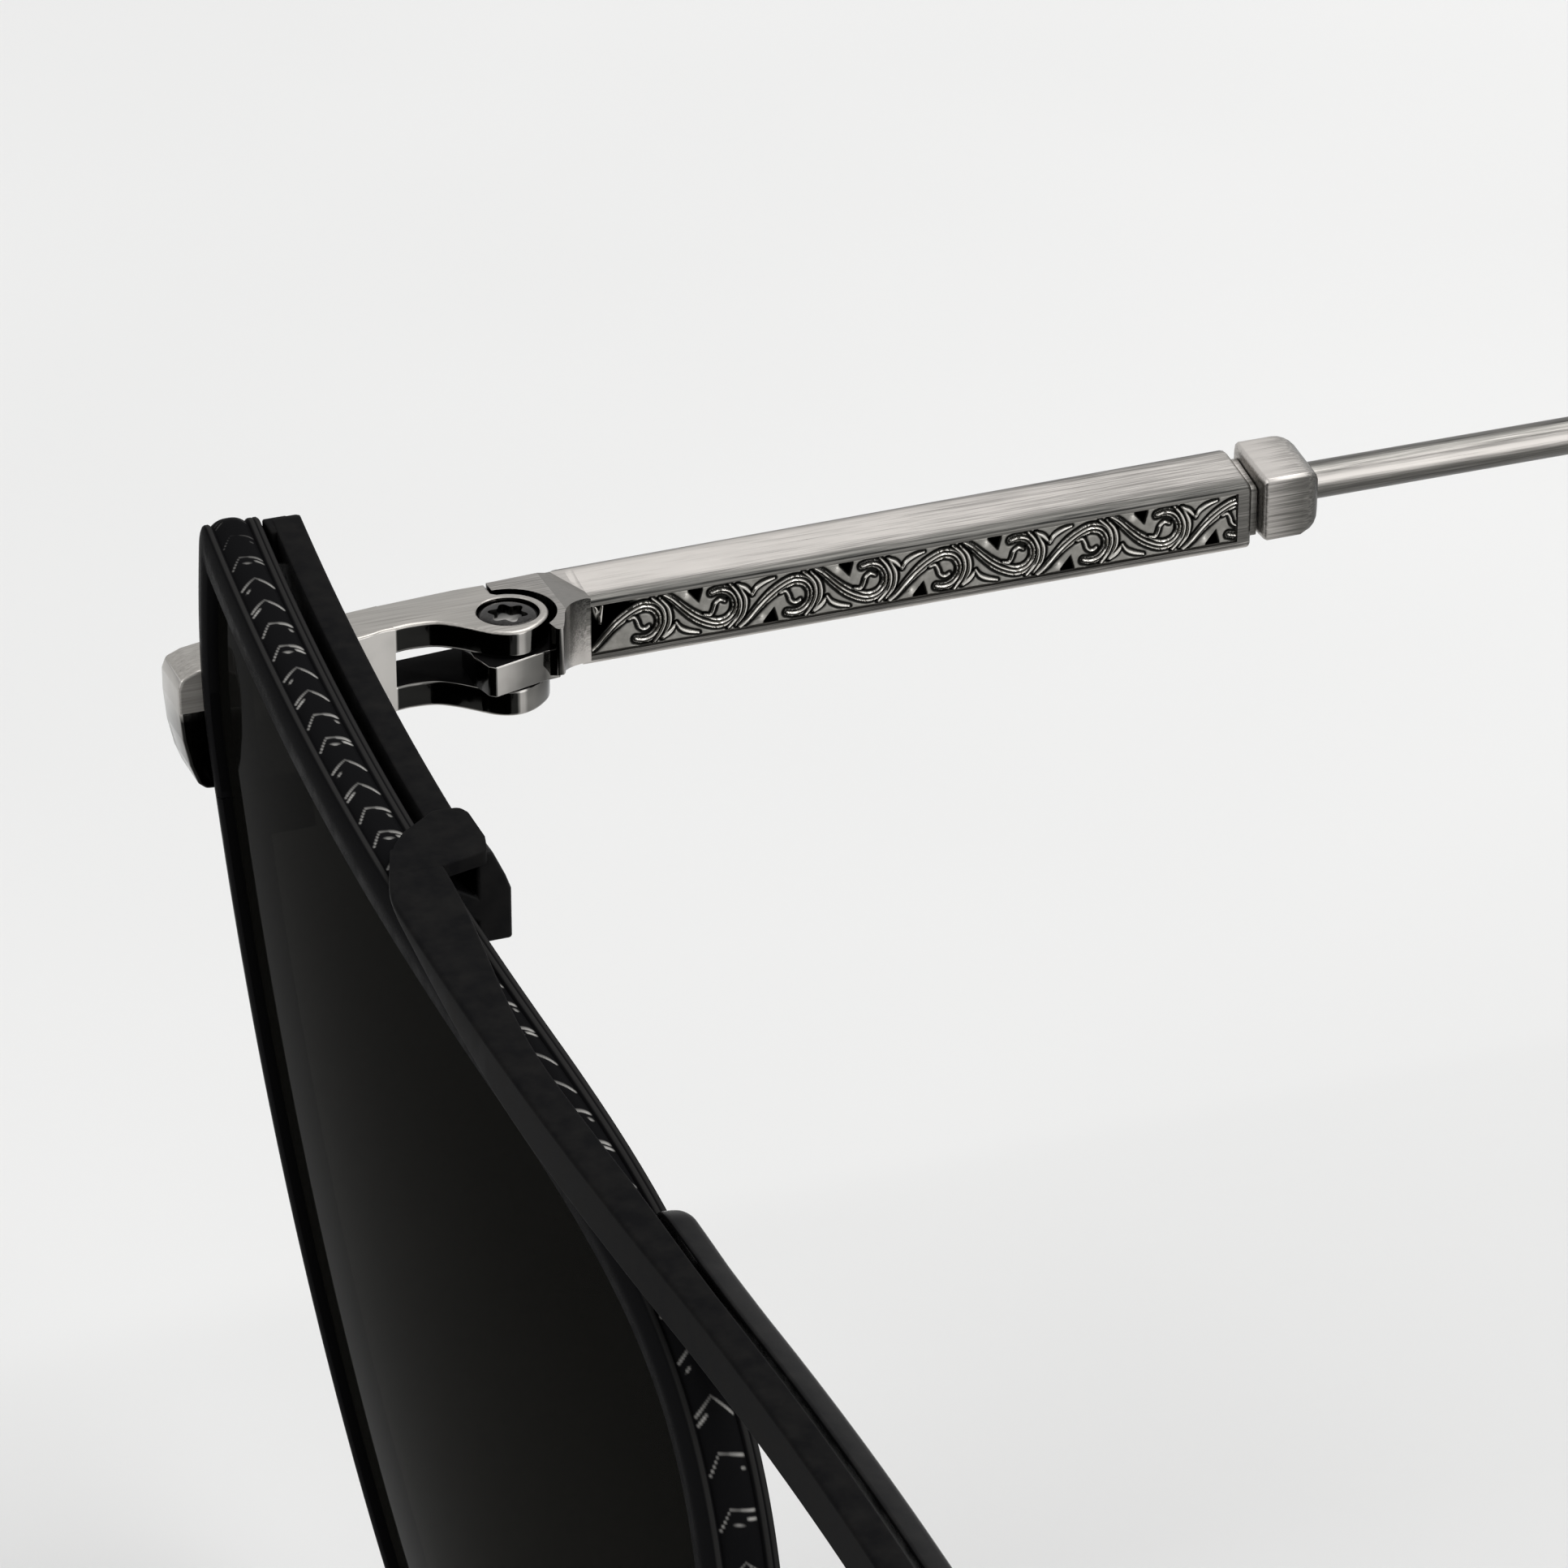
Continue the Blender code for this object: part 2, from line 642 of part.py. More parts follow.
def bar_levels(x):
    """Return the front, rear, top and lower edges of the hooked bar at x."""
    top = RIM_TOP + SADDLE_RISE
    flange = top - FLANGE
    base = front_y(min(x, 0.95 * NASAL_X), RIM_TOP)
    if x > 0.95 * NASAL_X:
        ease = (x - 0.95 * NASAL_X) / (HALF_SPAN - 0.95 * NASAL_X)
        slope = (0.95 * NASAL_X - VERTEX_X) / CURVE_ACROSS
        base += slope * (HALF_SPAN - 0.95 * NASAL_X) * (ease - ease * ease / 2)
    corner = SADDLE_X + SADDLE_CORNER
    front = base - PLATE_THICKNESS - SEAT_GAP
    front += (0.50 * RIM_DEPTH) * (1 - smoothstep(corner - 0.33 * SADDLE_LENGTH, corner + SADDLE_LENGTH, x))
    cover = smoothstep(corner + 0.4 * SADDLE_LENGTH, SADDLE_X + 0.3 * RIM_WIDTH, x)
    rear = base + RIM_DEPTH * (0.93 - 0.50 * cover - 0.10 * smoothstep(0.85 * NASAL_X, NASAL_X, x))
    start = corner + 1.1 * SADDLE_LENGTH
    begin = start - 0.28 * SADDLE_LENGTH
    drop = PLATE_DROP * smoothstep(begin, start + 0.23 * RIM_WIDTH, x) ** 0.6
    hook = smoothstep(begin, start, x)
    lower = flange + hook * (min(flange, top - PLATE_MIN - drop) - flange)
    inner = max(base - SEAT_GAP, front + 0.4 * PLATE_THICKNESS)
    solid = smoothstep(0.88 * NASAL_X, 0.92 * NASAL_X, x)
    inner += solid * (rear - SEAT_GAP - inner)
    return front, rear, top, flange, lower, inner


def hooked_rings():
    """Return the sections of the bar's middle length, from saddle to saddle."""
    first = SADDLE_X + SADDLE_CORNER
    span = HALF_SPAN - first
    count = 20
    stations = [first + span * step / count for step in range(count + 1)]
    rings = []
    for x in stations + stations[-2::-1]:
        front, rear, top, flange, lower, inner = bar_levels(x)
        lower = min(lower, flange - OVERLAP)
        sign = -1 if len(rings) <= count else 1
        across = sign * (HALF_SPAN - x)
        rings.append([
            (across, front, top), (across, rear, top), (across, rear, flange),
            (across, inner, flange - OVERLAP / 2), (across, inner, lower), (across, front, lower),
        ])
    return rings


def rear_bar_rings():
    """Return the sections of the bar that runs behind the rim."""
    start = BAR_REACH
    end = SADDLE_X + 0.22 * SADDLE_LENGTH
    count = 9
    stations = [start + (SADDLE_X - start) * step / count for step in range(count + 1)]
    stations += [SADDLE_X + 2 * OVERLAP, end]
    rings = []
    for x in stations:
        level = brow_z(x)
        top = level if x <= SADDLE_X else RIM_TOP + SADDLE_RISE - OVERLAP
        near = rim_rear(x, level) + BAR_GAP
        far = near + BAR_DEPTH
        low = level - BAR_HEIGHT
        rings.append([(x, near, low), (x, far, low), (x, far, top), (x, near, top)])
    return rings


def saddle_plan():
    """Return the plan of the saddle that crosses the rim."""
    x = SADDLE_X
    length = SADDLE_LENGTH
    rear = rim_rear(x, RIM_TOP) + BAR_GAP + BAR_DEPTH + OVERLAP
    inner = bar_levels(x + length)
    return [
        (x, rear - 0.83 * BAR_DEPTH),
        (x, rear),
        (x + 0.14 * length, rear + 0.19 * BAR_DEPTH),
        (x + 0.61 * length, rear + 0.16 * BAR_DEPTH),
        (x + 0.86 * length, rear - 0.13 * BAR_DEPTH),
        (x + length, inner[1]),
        (x + length, inner[0] + 2 * OVERLAP),
        (x + 0.69 * length, bar_levels(x + 0.69 * length)[0]),
        (x + 0.47 * length, rear - 2.6 * BAR_DEPTH),
        (x + 0.28 * length, rear - 2.1 * BAR_DEPTH),
    ]


def make_top_bar():
    """Build the brow bar: hooked middle, two saddles and two rear bars."""
    bar = add_object("top_bar", sweep(hooked_rings()), None, "satin_black")
    top = RIM_TOP + SADDLE_RISE
    for side in SIDES:
        combine(bar, plan_slab(saddle_plan(), top - FLANGE - OVERLAP, top + OVERLAP), side, "UNION")
        combine(bar, sweep(rear_bar_rings()), side, "UNION")
        level = brow_z(BAR_REACH)
        behind = rim_rear(BAR_REACH, level) + SEAT_GAP
        foot = box((BAR_REACH + OVERLAP, behind, level - 0.9 * BAR_HEIGHT),
                   (BAR_REACH + FOOT_LENGTH, behind + BAR_GAP + 0.5 * BAR_DEPTH, level - 0.1 * BAR_HEIGHT))
        combine(bar, foot, side, "UNION")
    return bar


def make_bridge():
    """Build the bridge that runs behind the bar from rim to rim."""
    count = 12
    top = RIM_TOP
    stations = [BRIDGE_END_X + (HALF_SPAN - BRIDGE_END_X) * step / count for step in range(count + 1)]
    rings = []
    for x in stations + stations[-2::-1]:
        rear_of_bar = bar_levels(x)[1]
        near = rear_of_bar + BRIDGE_FRONT_GAP
        near = max(near, front_y(min(x, NASAL_X), RIM_TOP) + 0.45 * RIM_DEPTH)
        end = 1 - smoothstep(BRIDGE_END_X, BRIDGE_END_X + BRIDGE_ROUND, x)
        far = near + BRIDGE_DEPTH * (1 - 0.45 * end)
        seat = brow_z(min(x, 0.98 * NASAL_X)) + BAND_RISE + SEAT_GAP
        low = max(seat, top - BRIDGE_HEIGHT - BRIDGE_SPAN_DROP)
        sign = -1 if len(rings) <= count else 1
        across = sign * (HALF_SPAN - x)
        crown = top - 0.35 * end * BRIDGE_HEIGHT
        chamfer = 0.15 * (crown - low)
        rings.append([
            (across, near, low), (across, far, low), (across, far, crown - chamfer),
            (across, far - chamfer, crown), (across, near, crown),
        ])
    return add_object("bridge", sweep(rings), None, "gloss_black")


def make_bar_bracket(side):
    """Build the leg under the saddle that reaches forward to the rim."""
    rear = rim_rear(BRACKET_X, RIM_TOP)
    near = rim_rear(BRACKET_X + BRACKET_WIDTH, RIM_TOP) + BRACKET_GAP
    far = near + BRACKET_DEPTH
    top = RIM_TOP + SADDLE_RISE - FLANGE - SEAT_GAP
    low = top - BRACKET_DROP
    profile = (
        (near, top), (near + 0.46 * BRACKET_DEPTH, top),
        (far - 0.15 * BRACKET_DEPTH, top - 0.30 * BRACKET_DROP), (far, top - 0.45 * BRACKET_DROP),
        (far, low), (near, low), (near, top - 0.76 * BRACKET_DROP),
        (rear + SEAT_GAP, top - 0.52 * BRACKET_DROP), (rear + SEAT_GAP, top - 0.28 * BRACKET_DROP),
        (near, top - 0.48 * BRACKET_DROP),
    )
    slab = side_slab(profile, BRACKET_X, BRACKET_X + BRACKET_WIDTH)
    return add_object("bar_bracket_" + side, slab, side, "gloss_black")


def block_outer(y):
    """Return how far the block's outer side stands out at a place along it."""
    share = (y - BLOCK_START) / (BLOCK_END - BLOCK_START)
    return BLOCK_OUTER_START + share * (BLOCK_OUTER_X - BLOCK_OUTER_START)


def block_section(inner, outer, low, top, chamfer):
    """Return a section in x and z with a sloping top and eased edges."""
    return (
        (inner, low + chamfer), (inner, top - BLOCK_SLOPE),
        (inner - 0.3 * chamfer, top - BLOCK_SLOPE + 0.5 * chamfer), (outer + chamfer, top),
        (outer + 0.3 * chamfer, top - 0.3 * chamfer), (outer, top - chamfer),
        (outer, low + chamfer), (outer + chamfer, low), (inner - chamfer, low),
    )


def block_rings(places, inset):
    """Return the block's sections at places along it, drawn in by inset."""
    rings = []
    for y in places:
        section = block_section(BLOCK_INNER_X - inset, block_outer(y) + inset, BLOCK_BOTTOM + inset,
                                BLOCK_TOP - inset, BLOCK_CHAMFER)
        rings.append([(x, y, z) for x, z in section])
    return rings


def hinge_body_plan():
    """Return the plan of the temple's wide hinge end with its cove."""
    relief = BOSS_RADIUS + BOSS_SWELL + FOLD_RELIEF
    reach = BLOCK_START
    points = [(HINGE_OUTER_X, 0.0), (-relief, 0.0)]
    points += arc((0.0, 0.0), relief, 176.0, 37.0, 12)
    points += [
        (0.93 * TEMPLE_NOSE_X, 0.34 * reach),
        (TEMPLE_NOSE_X, 0.37 * reach),
        (TEMPLE_NOSE_X, 0.43 * reach),
        (0.62 * TEMPLE_NOSE_X, 0.51 * reach),
        (0.24 * TEMPLE_NOSE_X, 0.63 * reach),
        (-0.07 * TEMPLE_NOSE_X, 0.79 * reach),
        (BLOCK_INNER_X + 0.00006, 0.97 * reach),
        (BLOCK_INNER_X, 1.10 * reach),
        (block_outer(1.10 * reach) + OVERLAP, 1.10 * reach),
        (0.97 * block_outer(reach), 0.90 * reach),
        (1.05 * HINGE_OUTER_X, SHOULDER_START),
    ]
    return points


def undercut():
    """Return the cutter under the wide hinge end, which rises to the nose."""
    far = 2 * TEMPLE_NOSE_X
    outer = 2 * BLOCK_OUTER_X
    slope = (UNDERCUT_NOSE - UNDERCUT_BLOCK) / (TEMPLE_NOSE_X - BLOCK_INNER_X)
    level = UNDERCUT_BLOCK + slope * (far - BLOCK_INNER_X)
    profile = [(outer, BLOCK_BOTTOM), (BLOCK_INNER_X - BLOCK_CHAMFER, BLOCK_BOTTOM),
               (BLOCK_INNER_X, UNDERCUT_BLOCK), (far, level), (far, -2 * HINGE_HEIGHT),
               (outer, -2 * HINGE_HEIGHT)]
    return front_slab(profile, -2 * KNUCKLE_RADIUS, 2 * BLOCK_START)


def shoulder():
    """Return the wedge that slopes the hinge end's top down to the block."""
    end = 1.2 * BLOCK_START
    profile = [(SHOULDER_START, 0.0), (end, BLOCK_TOP - BLOCK_SLOPE), (end, HINGE_HEIGHT),
               (SHOULDER_START, HINGE_HEIGHT)]
    return side_slab(profile, 2 * BLOCK_OUTER_X, 2 * TEMPLE_NOSE_X)


def knuckle_plan():
    """Return the plan of the temple's knuckle, flat-sided at the front."""
    radius = KNUCKLE_RADIUS
    return [
        (-0.98 * radius, 1.0 * radius), (-0.99 * radius, 0.0), (-0.78 * radius, -0.63 * radius),
        (-0.35 * radius, -0.93 * radius), (0.29 * radius, -0.95 * radius),
        (0.75 * radius, -0.66 * radius), (0.97 * radius, -0.12 * radius),
        (0.92 * radius, 0.50 * radius), (0.86 * radius, 1.0 * radius),
    ]


def make_temple_bar(side, hinge):
    """Build the solid part of a temple, from its knuckle to its cap."""
    body = plan_slab(hinge_body_plan(), -HINGE_HEIGHT, 0.0)
    piece = add_object("temple_bar_" + side, body, side, "brushed_silver", hinge)
    combine(piece, undercut(), side, "DIFFERENCE")
    combine(piece, shoulder(), side, "DIFFERENCE")
    combine(piece, sweep(block_rings((0.94 * BLOCK_START, BLOCK_END), 0.0)), side, "UNION")
    knuckle = plan_slab(knuckle_plan(), EAR_THICKNESS + FIT - HINGE_HEIGHT, -EAR_THICKNESS - FIT)
    combine(piece, knuckle, side, "UNION")
    spigot = sweep(block_rings((BLOCK_END - SPIGOT_INSET, CAP_START - SEAT_GAP), SPIGOT_INSET))
    combine(piece, spigot, side, "UNION")
    radius = PIN_RADIUS + FIT
    bore = turned((0.0, 0.0, 0.0), ((radius, -2 * HINGE_HEIGHT), (radius, HINGE_HEIGHT)))
    combine(piece, bore, side, "DIFFERENCE")
    middle = (BLOCK_BOTTOM + BLOCK_TOP - BLOCK_SLOPE) / 2
    faces = (lambda y: BLOCK_INNER_X, block_outer)
    for face_x in faces:
        near, far = face_x(PANEL_START), face_x(PANEL_END)
        plan = [(near - PANEL_DEPTH, PANEL_START), (near + PANEL_DEPTH, PANEL_START),
                (far + PANEL_DEPTH, PANEL_END), (far - PANEL_DEPTH, PANEL_END)]
        panel = plan_slab(plan, middle - PANEL_HEIGHT / 2, middle + PANEL_HEIGHT / 2)
        combine(piece, panel, side, "DIFFERENCE")
    return piece


def temple_path(distance):
    """Return the centre and direction of the temple wire at a distance."""
    if distance <= BEND_START:
        return Vector((WIRE_X, distance, WIRE_Z)), Vector((0.0, 1.0, 0.0))
    angle = min((distance - BEND_START) / BEND_RADIUS, BEND_ANGLE)
    y = BEND_START + BEND_RADIUS * sin(angle)
    z = WIRE_Z - BEND_RADIUS * (1 - cos(angle))
    direction = Vector((0.0, cos(angle), -sin(angle)))
    rest = distance - BEND_START - BEND_RADIUS * angle
    return Vector((WIRE_X, y, z)) + rest * direction, direction


def temple_length():
    """Return the distance at which the temple reaches the rims' level."""
    drop = WIRE_Z - BEND_RADIUS * (1 - cos(BEND_ANGLE)) - (RIM_BOTTOM - BAND_RISE)
    return BEND_START + BEND_RADIUS * BEND_ANGLE + drop / sin(BEND_ANGLE)


def path_stops(start, end):
    """Return distances along the temple, close together in the bend."""
    bend_end = BEND_START + BEND_RADIUS * BEND_ANGLE
    stops = [start]
    low = max(start, BEND_START)
    high = min(end, bend_end)
    if start < BEND_START < end:
        stops.append(BEND_START)
    if high > low:
        count = ceil((high - low) / (BEND_RADIUS * radians(7.0)))
        stops += [low + (high - low) * step / count for step in range(1, count + 1)]
    if stops[-1] < end - 1e-6:
        stops.append(end)
    return stops


def oval_ring(centre, direction, half_x, half_up, count):
    """Return an oval of points square to a direction in the y-z plane."""
    upward = Vector((0.0, -direction.z, direction.y))
    ring = []
    for step in range(count):
        angle = 2 * pi * step / count
        ring.append(centre + Vector((half_x * cos(angle), 0.0, 0.0)) + half_up * sin(angle) * upward)
    return ring


def tube_along(start, end, radius, count=12):
    """Build a round rod along the temple's path."""
    return sweep([oval_ring(*temple_path(stop), radius, radius, count) for stop in path_stops(start, end)])


def make_temple_cap(side, hinge):
    """Build the sleeve between the temple's bar and its wire."""
    stations = (
        (CAP_START, 0.7 * CAP_CHAMFER), (CAP_START + 0.7 * CAP_CHAMFER, 0.0),
        (CAP_END - 1.3 * CAP_CHAMFER, 0.0), (CAP_END - 0.5 * CAP_CHAMFER, 0.3 * CAP_CHAMFER),
        (CAP_END, 1.1 * CAP_CHAMFER),
    )
    rings = []
    for y, inset in stations:
        section = block_section(CAP_INNER_X - inset, CAP_OUTER_X + inset, CAP_BOTTOM + inset,
                                CAP_TOP - inset, CAP_CHAMFER)
        rings.append([(x, y, z) for x, z in section])
    cap = add_object("temple_cap_" + side, sweep(rings), side, "brushed_silver", hinge)
    socket = tube_along(CAP_END - WIRE_SOCKET, CAP_END + WIRE_SOCKET, WIRE_RADIUS + FIT, 16)
    return combine(cap, socket, side, "DIFFERENCE")


def make_temple_wire(side, hinge):
    """Build the round wire between the cap and the tip."""
    rod = tube_along(CAP_END - WIRE_SOCKET + SEAT_GAP, TIP_START + TIP_SOCKET, WIRE_RADIUS)
    return add_object("temple_wire_" + side, rod, side, "brushed_silver", hinge, smooth=40.0)


def make_temple_tip(side, hinge):
    """Build the ear tip, which swells along the bend and ends flat."""
    end = temple_length()
    stops = path_stops(TIP_START, end)
    middle = stops[-1] - (stops[-1] - stops[-2]) * 0.5
    stops = [stops[0], stops[0] + TIP_EASE / 4, stops[0] + TIP_EASE] + stops[1:-1]
    stops += [middle, end - TIP_EASE, end]
    rings = []
    for stop in stops:
        centre, direction = temple_path(stop)
        share = (stop - TIP_START) / (end - TIP_START)
        swell = smoothstep(0.0, 0.10, share)
        mouth = WIRE_RADIUS + TIP_WALL
        half_x = mouth + swell * (TIP_HALF_THICK - mouth)
        half_up = max(half_x, TIP_HALF_TALL * smoothstep(0.0, 0.85, share))
        ring = oval_ring(centre, direction, half_x, half_up, 14)
        if stop == end:
            ring = [p + direction * (RIM_BOTTOM - BAND_RISE - p.z) / direction.z for p in ring]
        rings.append(ring)
    tip = add_object("temple_tip_" + side, sweep(rings), side, "dark_tip", hinge, smooth=40.0)
    socket = tube_along(TIP_START - TIP_EASE, TIP_START + TIP_SOCKET + SEAT_GAP, WIRE_RADIUS + FIT, 16)
    return combine(tip, socket, side, "DIFFERENCE")


def pad_frame():
    """Return the pad's axes (long, across, facing) and its screw's centre."""
    facing = Vector(PAD_FACING).normalized()
    upward = Vector((0.0, 0.0, 1.0))
    long_axis = (upward - upward.dot(facing) * facing).normalized()
    across = long_axis.cross(facing)
    centre = Vector((HALF_SPAN - PAD_SPAN / 2, PAD_Y, PAD_Z))
    return long_axis, across, facing, centre - PAD_REACH * facing


def to_pad(bm):
    """Move a shape drawn in (long, across, facing) to the pad's place."""
    long_axis, across, facing, centre = pad_frame()
    for vert in bm.verts:
        u, v, n = vert.co
        vert.co = centre + u * long_axis + v * across + n * facing
    bmesh.ops.recalc_face_normals(bm, faces=bm.faces[:])
    return bm


def make_pad_arm(side):
    """Build the pad arm: a bent wire that ends in a screw box."""
    floor = BOX_FLOOR + BOX_WALL
    block = to_pad(box((-BOX_LENGTH / 2, -BOX_HALF, -floor), (BOX_LENGTH / 2, BOX_HALF, BOX_TOP)))
    arm = add_object("pad_arm_" + side, block, side, "brushed_silver")
    long_axis, across, facing, centre = pad_frame()
    root_z = RIM_TOP - ARM_ROOT_DROP
    root_x = NASAL_X - ARM_ROOT_INSET
    root = Vector((root_x, rim_rear(root_x, root_z) + SEAT_GAP, root_z))
    end = centre - (floor - ARM_SUNK) * facing
    controls = (root, root + Vector(ARM_LEAVES), end + Vector(ARM_ARRIVES), end)
    steps = 9
    rings = []
    for step in range(steps + 1):
        t = step / steps
        point = bezier(*controls, t)
        slope = bezier_slope(*controls, min(max(t, 0.001), 0.999))
        if step == 0:
            slope = Vector((0.0, 1.0, 0.0))
        first = slope.cross(Vector((1.0, 0.0, 0.0))).normalized()
        second = slope.cross(first)
        ring = []
        for corner in range(10):
            angle = 2 * pi * corner / 10
            ring.append(point + ARM_RADIUS * (cos(angle) * first + sin(angle) * second))
        rings.append(ring)
    combine(arm, sweep(rings), side, "UNION")
    gap = STEM_HALF + FIT
    slot = box((-BOX_LENGTH, -gap, -BOX_FLOOR), (BOX_LENGTH, gap, BOX_LENGTH))
    combine(arm, to_pad(slot), side, "DIFFERENCE")
    radius = PAD_SCREW_RADIUS + FIT
    bore = turned((0.0, -3 * BOX_HALF, 0.0), ((radius, 0.0), (radius, 6 * BOX_HALF)), 14, "Y")
    return combine(arm, to_pad(bore), side, "DIFFERENCE")


def make_pad_screw(side):
    """Build the screw that a pad rocks on."""
    start = -BOX_HALF - 2 * SEAT_GAP
    seat = BOX_HALF + SEAT_GAP
    profile = (
        (PAD_SCREW_RADIUS, start), (PAD_SCREW_RADIUS, seat), (PAD_SCREW_HEAD, seat),
        (PAD_SCREW_HEAD, seat + 0.6 * PAD_SCREW_CAP), (0.8 * PAD_SCREW_HEAD, seat + PAD_SCREW_CAP),
    )
    screw = to_pad(turned((0.0, 0.0, 0.0), profile, 14, "Y"))
    return add_object("pad_screw_" + side, screw, side, "dark_screw")


def make_nose_pad(side, axis):
    """Build one nose pad with the stem that its screw passes through."""
    back = PAD_REACH - PAD_HALF_THICK
    levels = ((0.0, 0.86), (0.25, 0.97), (0.5, 1.0), (0.75, 0.95), (1.0, 0.80))
    rings = []
    for share, scale in levels:
        ring = []
        for step in range(24):
            angle = 2 * pi * step / 24
            width = PAD_HALF_WIDTH * (1.0 - 0.12 * sin(angle))
            point = (scale * PAD_HALF_LENGTH * sin(angle), scale * width * cos(angle),
                     back + 2 * PAD_HALF_THICK * share)
            ring.append(point)
        rings.append(ring)
    pad = add_object("nose_pad_" + side, to_pad(sweep(rings)), side, "clear_pad", axis, smooth=40.0)
    stem = box((-STEM_LENGTH / 2, -STEM_HALF, -STEM_HALF),
               (STEM_LENGTH / 2, STEM_HALF, back + 0.5 * PAD_HALF_THICK))
    combine(pad, to_pad(stem), side, "UNION")
    radius = PAD_SCREW_RADIUS + FIT
    bore = turned((0.0, -2 * STEM_HALF, 0.0), ((radius, 0.0), (radius, 4 * STEM_HALF)), 14, "Y")
    return combine(pad, to_pad(bore), side, "DIFFERENCE")


def make_side(side):
    """Build everything of one side of the sunglasses."""
    make_rim(side)
    make_lens(side)
    make_end_piece(side)
    make_rim_lock(side)
    make_lock_screw(side)
    make_hinge_screw(side)
    make_bar_bracket(side)
    make_pad_arm(side)
    make_pad_screw(side)
    make_nose_pad(side, pivot("nose_pad_" + side, side, pad_frame()[3]))
    hinge = pivot("temple_" + side, side, (0.0, 0.0, 0.0))
    make_temple_bar(side, hinge)
    make_temple_cap(side, hinge)
    make_temple_wire(side, hinge)
    make_temple_tip(side, hinge)


def settle():
    """Move everything so that the origin is the box's bottom centre."""
    bpy.context.view_layer.update()
    graph = bpy.context.evaluated_depsgraph_get()
    corners = []
    for obj in bpy.context.scene.objects:
        if obj.type == "MESH" and not obj.hide_render:
            shown = obj.evaluated_get(graph)
            corners += [shown.matrix_world @ vert.co for vert in shown.data.vertices]
    low = [min(corner[axis] for corner in corners) for axis in range(3)]
    high = [max(corner[axis] for corner in corners) for axis in range(3)]
    shift = Vector((-(low[0] + high[0]) / 2, -(low[1] + high[1]) / 2, -low[2]))
    for obj in bpy.context.scene.objects:
        if obj.parent is None:
            obj.location += shift
    bpy.context.view_layer.update()
    print("size in mm:", [round(1000 * (high[axis] - low[axis]), 3) for axis in range(3)])
    for obj in bpy.context.scene.objects:
        if obj.type == "EMPTY":
            print(obj.name, [round(value, 6) for value in obj.matrix_world.translation])
    print("pad axis", [round(value, 6) for value in pad_frame()[1]])


def main():
    """Build the sunglasses."""
    clear_scene()
    make_top_bar()
    make_bridge()
    for side in SIDES:
        make_side(side)
    settle()


main()
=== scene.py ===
"""Dressed model of metal sunglasses with a brow bar and scroll-cut temples.

Lengths are in metres. Each side is drawn in its own hinge frame: x runs from
the hinge axis towards the nose, y back towards the ears, and z up from the
hinge's top face. The wearer's right side lies at negative X.
"""
from __future__ import annotations

import json
import logging
import math
from dataclasses import dataclass, field
from enum import Enum
from typing import Callable, Optional, Sequence

import bmesh
import bpy
import numpy as np
from mathutils import Matrix, Vector

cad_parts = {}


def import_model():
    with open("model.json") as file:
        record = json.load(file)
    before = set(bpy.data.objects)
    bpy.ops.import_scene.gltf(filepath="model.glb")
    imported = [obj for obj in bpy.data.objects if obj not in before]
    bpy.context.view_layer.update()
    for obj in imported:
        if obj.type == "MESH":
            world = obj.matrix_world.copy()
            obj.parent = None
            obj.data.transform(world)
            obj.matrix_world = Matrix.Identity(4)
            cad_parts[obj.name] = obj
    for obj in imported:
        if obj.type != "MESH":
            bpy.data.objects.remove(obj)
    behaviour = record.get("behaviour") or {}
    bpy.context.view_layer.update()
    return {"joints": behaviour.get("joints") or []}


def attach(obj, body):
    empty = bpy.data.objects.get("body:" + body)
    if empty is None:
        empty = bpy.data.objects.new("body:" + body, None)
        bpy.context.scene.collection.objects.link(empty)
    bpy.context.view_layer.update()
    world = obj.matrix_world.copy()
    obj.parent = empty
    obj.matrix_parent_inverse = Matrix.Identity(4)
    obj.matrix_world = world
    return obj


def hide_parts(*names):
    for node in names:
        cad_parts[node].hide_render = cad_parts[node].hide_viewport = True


LOG = logging.getLogger("sunglasses")
MERGE = 1e-8
MM = 0.001
Mesh = bmesh.types.BMesh
Ring = Sequence[Sequence[float]]


class Side(Enum):
    """The wearer's side that a piece belongs to, with the sign of its X."""

    RIGHT = -1
    LEFT = 1

    @property
    def label(self) -> str:
        """Return the word used in node names."""
        return self.name.lower()


class Union(Enum):
    """How two solids are put together."""

    JOIN = "UNION"
    CUT = "DIFFERENCE"


def smoothstep(low: float, high: float, value: float) -> float:
    """Rise smoothly from 0 to 1.

    Args:
        low: Where the rise starts.
        high: Where it ends.
        value: The place asked for.

    Returns:
        The height of the rise at that place.
    """
    share = min(1.0, max(0.0, (value - low) / (high - low)))
    return share * share * (3 - 2 * share)


def smooth_path(points: Ring, steps: int = 8, closed: bool = False) -> np.ndarray:
    """Lay a smooth curve through a few points.

    Args:
        points: The points the curve passes through.
        steps: Pieces between two neighbouring points.
        closed: Whether the curve returns to its start.

    Returns:
        The points of the curve.
    """
    base = np.array(points, float)
    if closed:
        padded = np.vstack((base[-1:], base, base[:2]))
    else:
        padded = np.vstack((2 * base[:1] - base[1:2], base, 2 * base[-1:] - base[-2:-1]))
    shares = np.linspace(0.0, 1.0, steps, endpoint=False)[:, None]
    out = []
    for p0, p1, p2, p3 in zip(padded, padded[1:], padded[2:], padded[3:]):
        out.append(0.5 * (2 * p1 + (p2 - p0) * shares + (2 * p0 - 5 * p1 + 4 * p2 - p3) * shares ** 2
                          + (3 * p1 - p0 - 3 * p2 + p3) * shares ** 3))
    if not closed:
        out.append(base[-1:])
    return np.vstack(out)


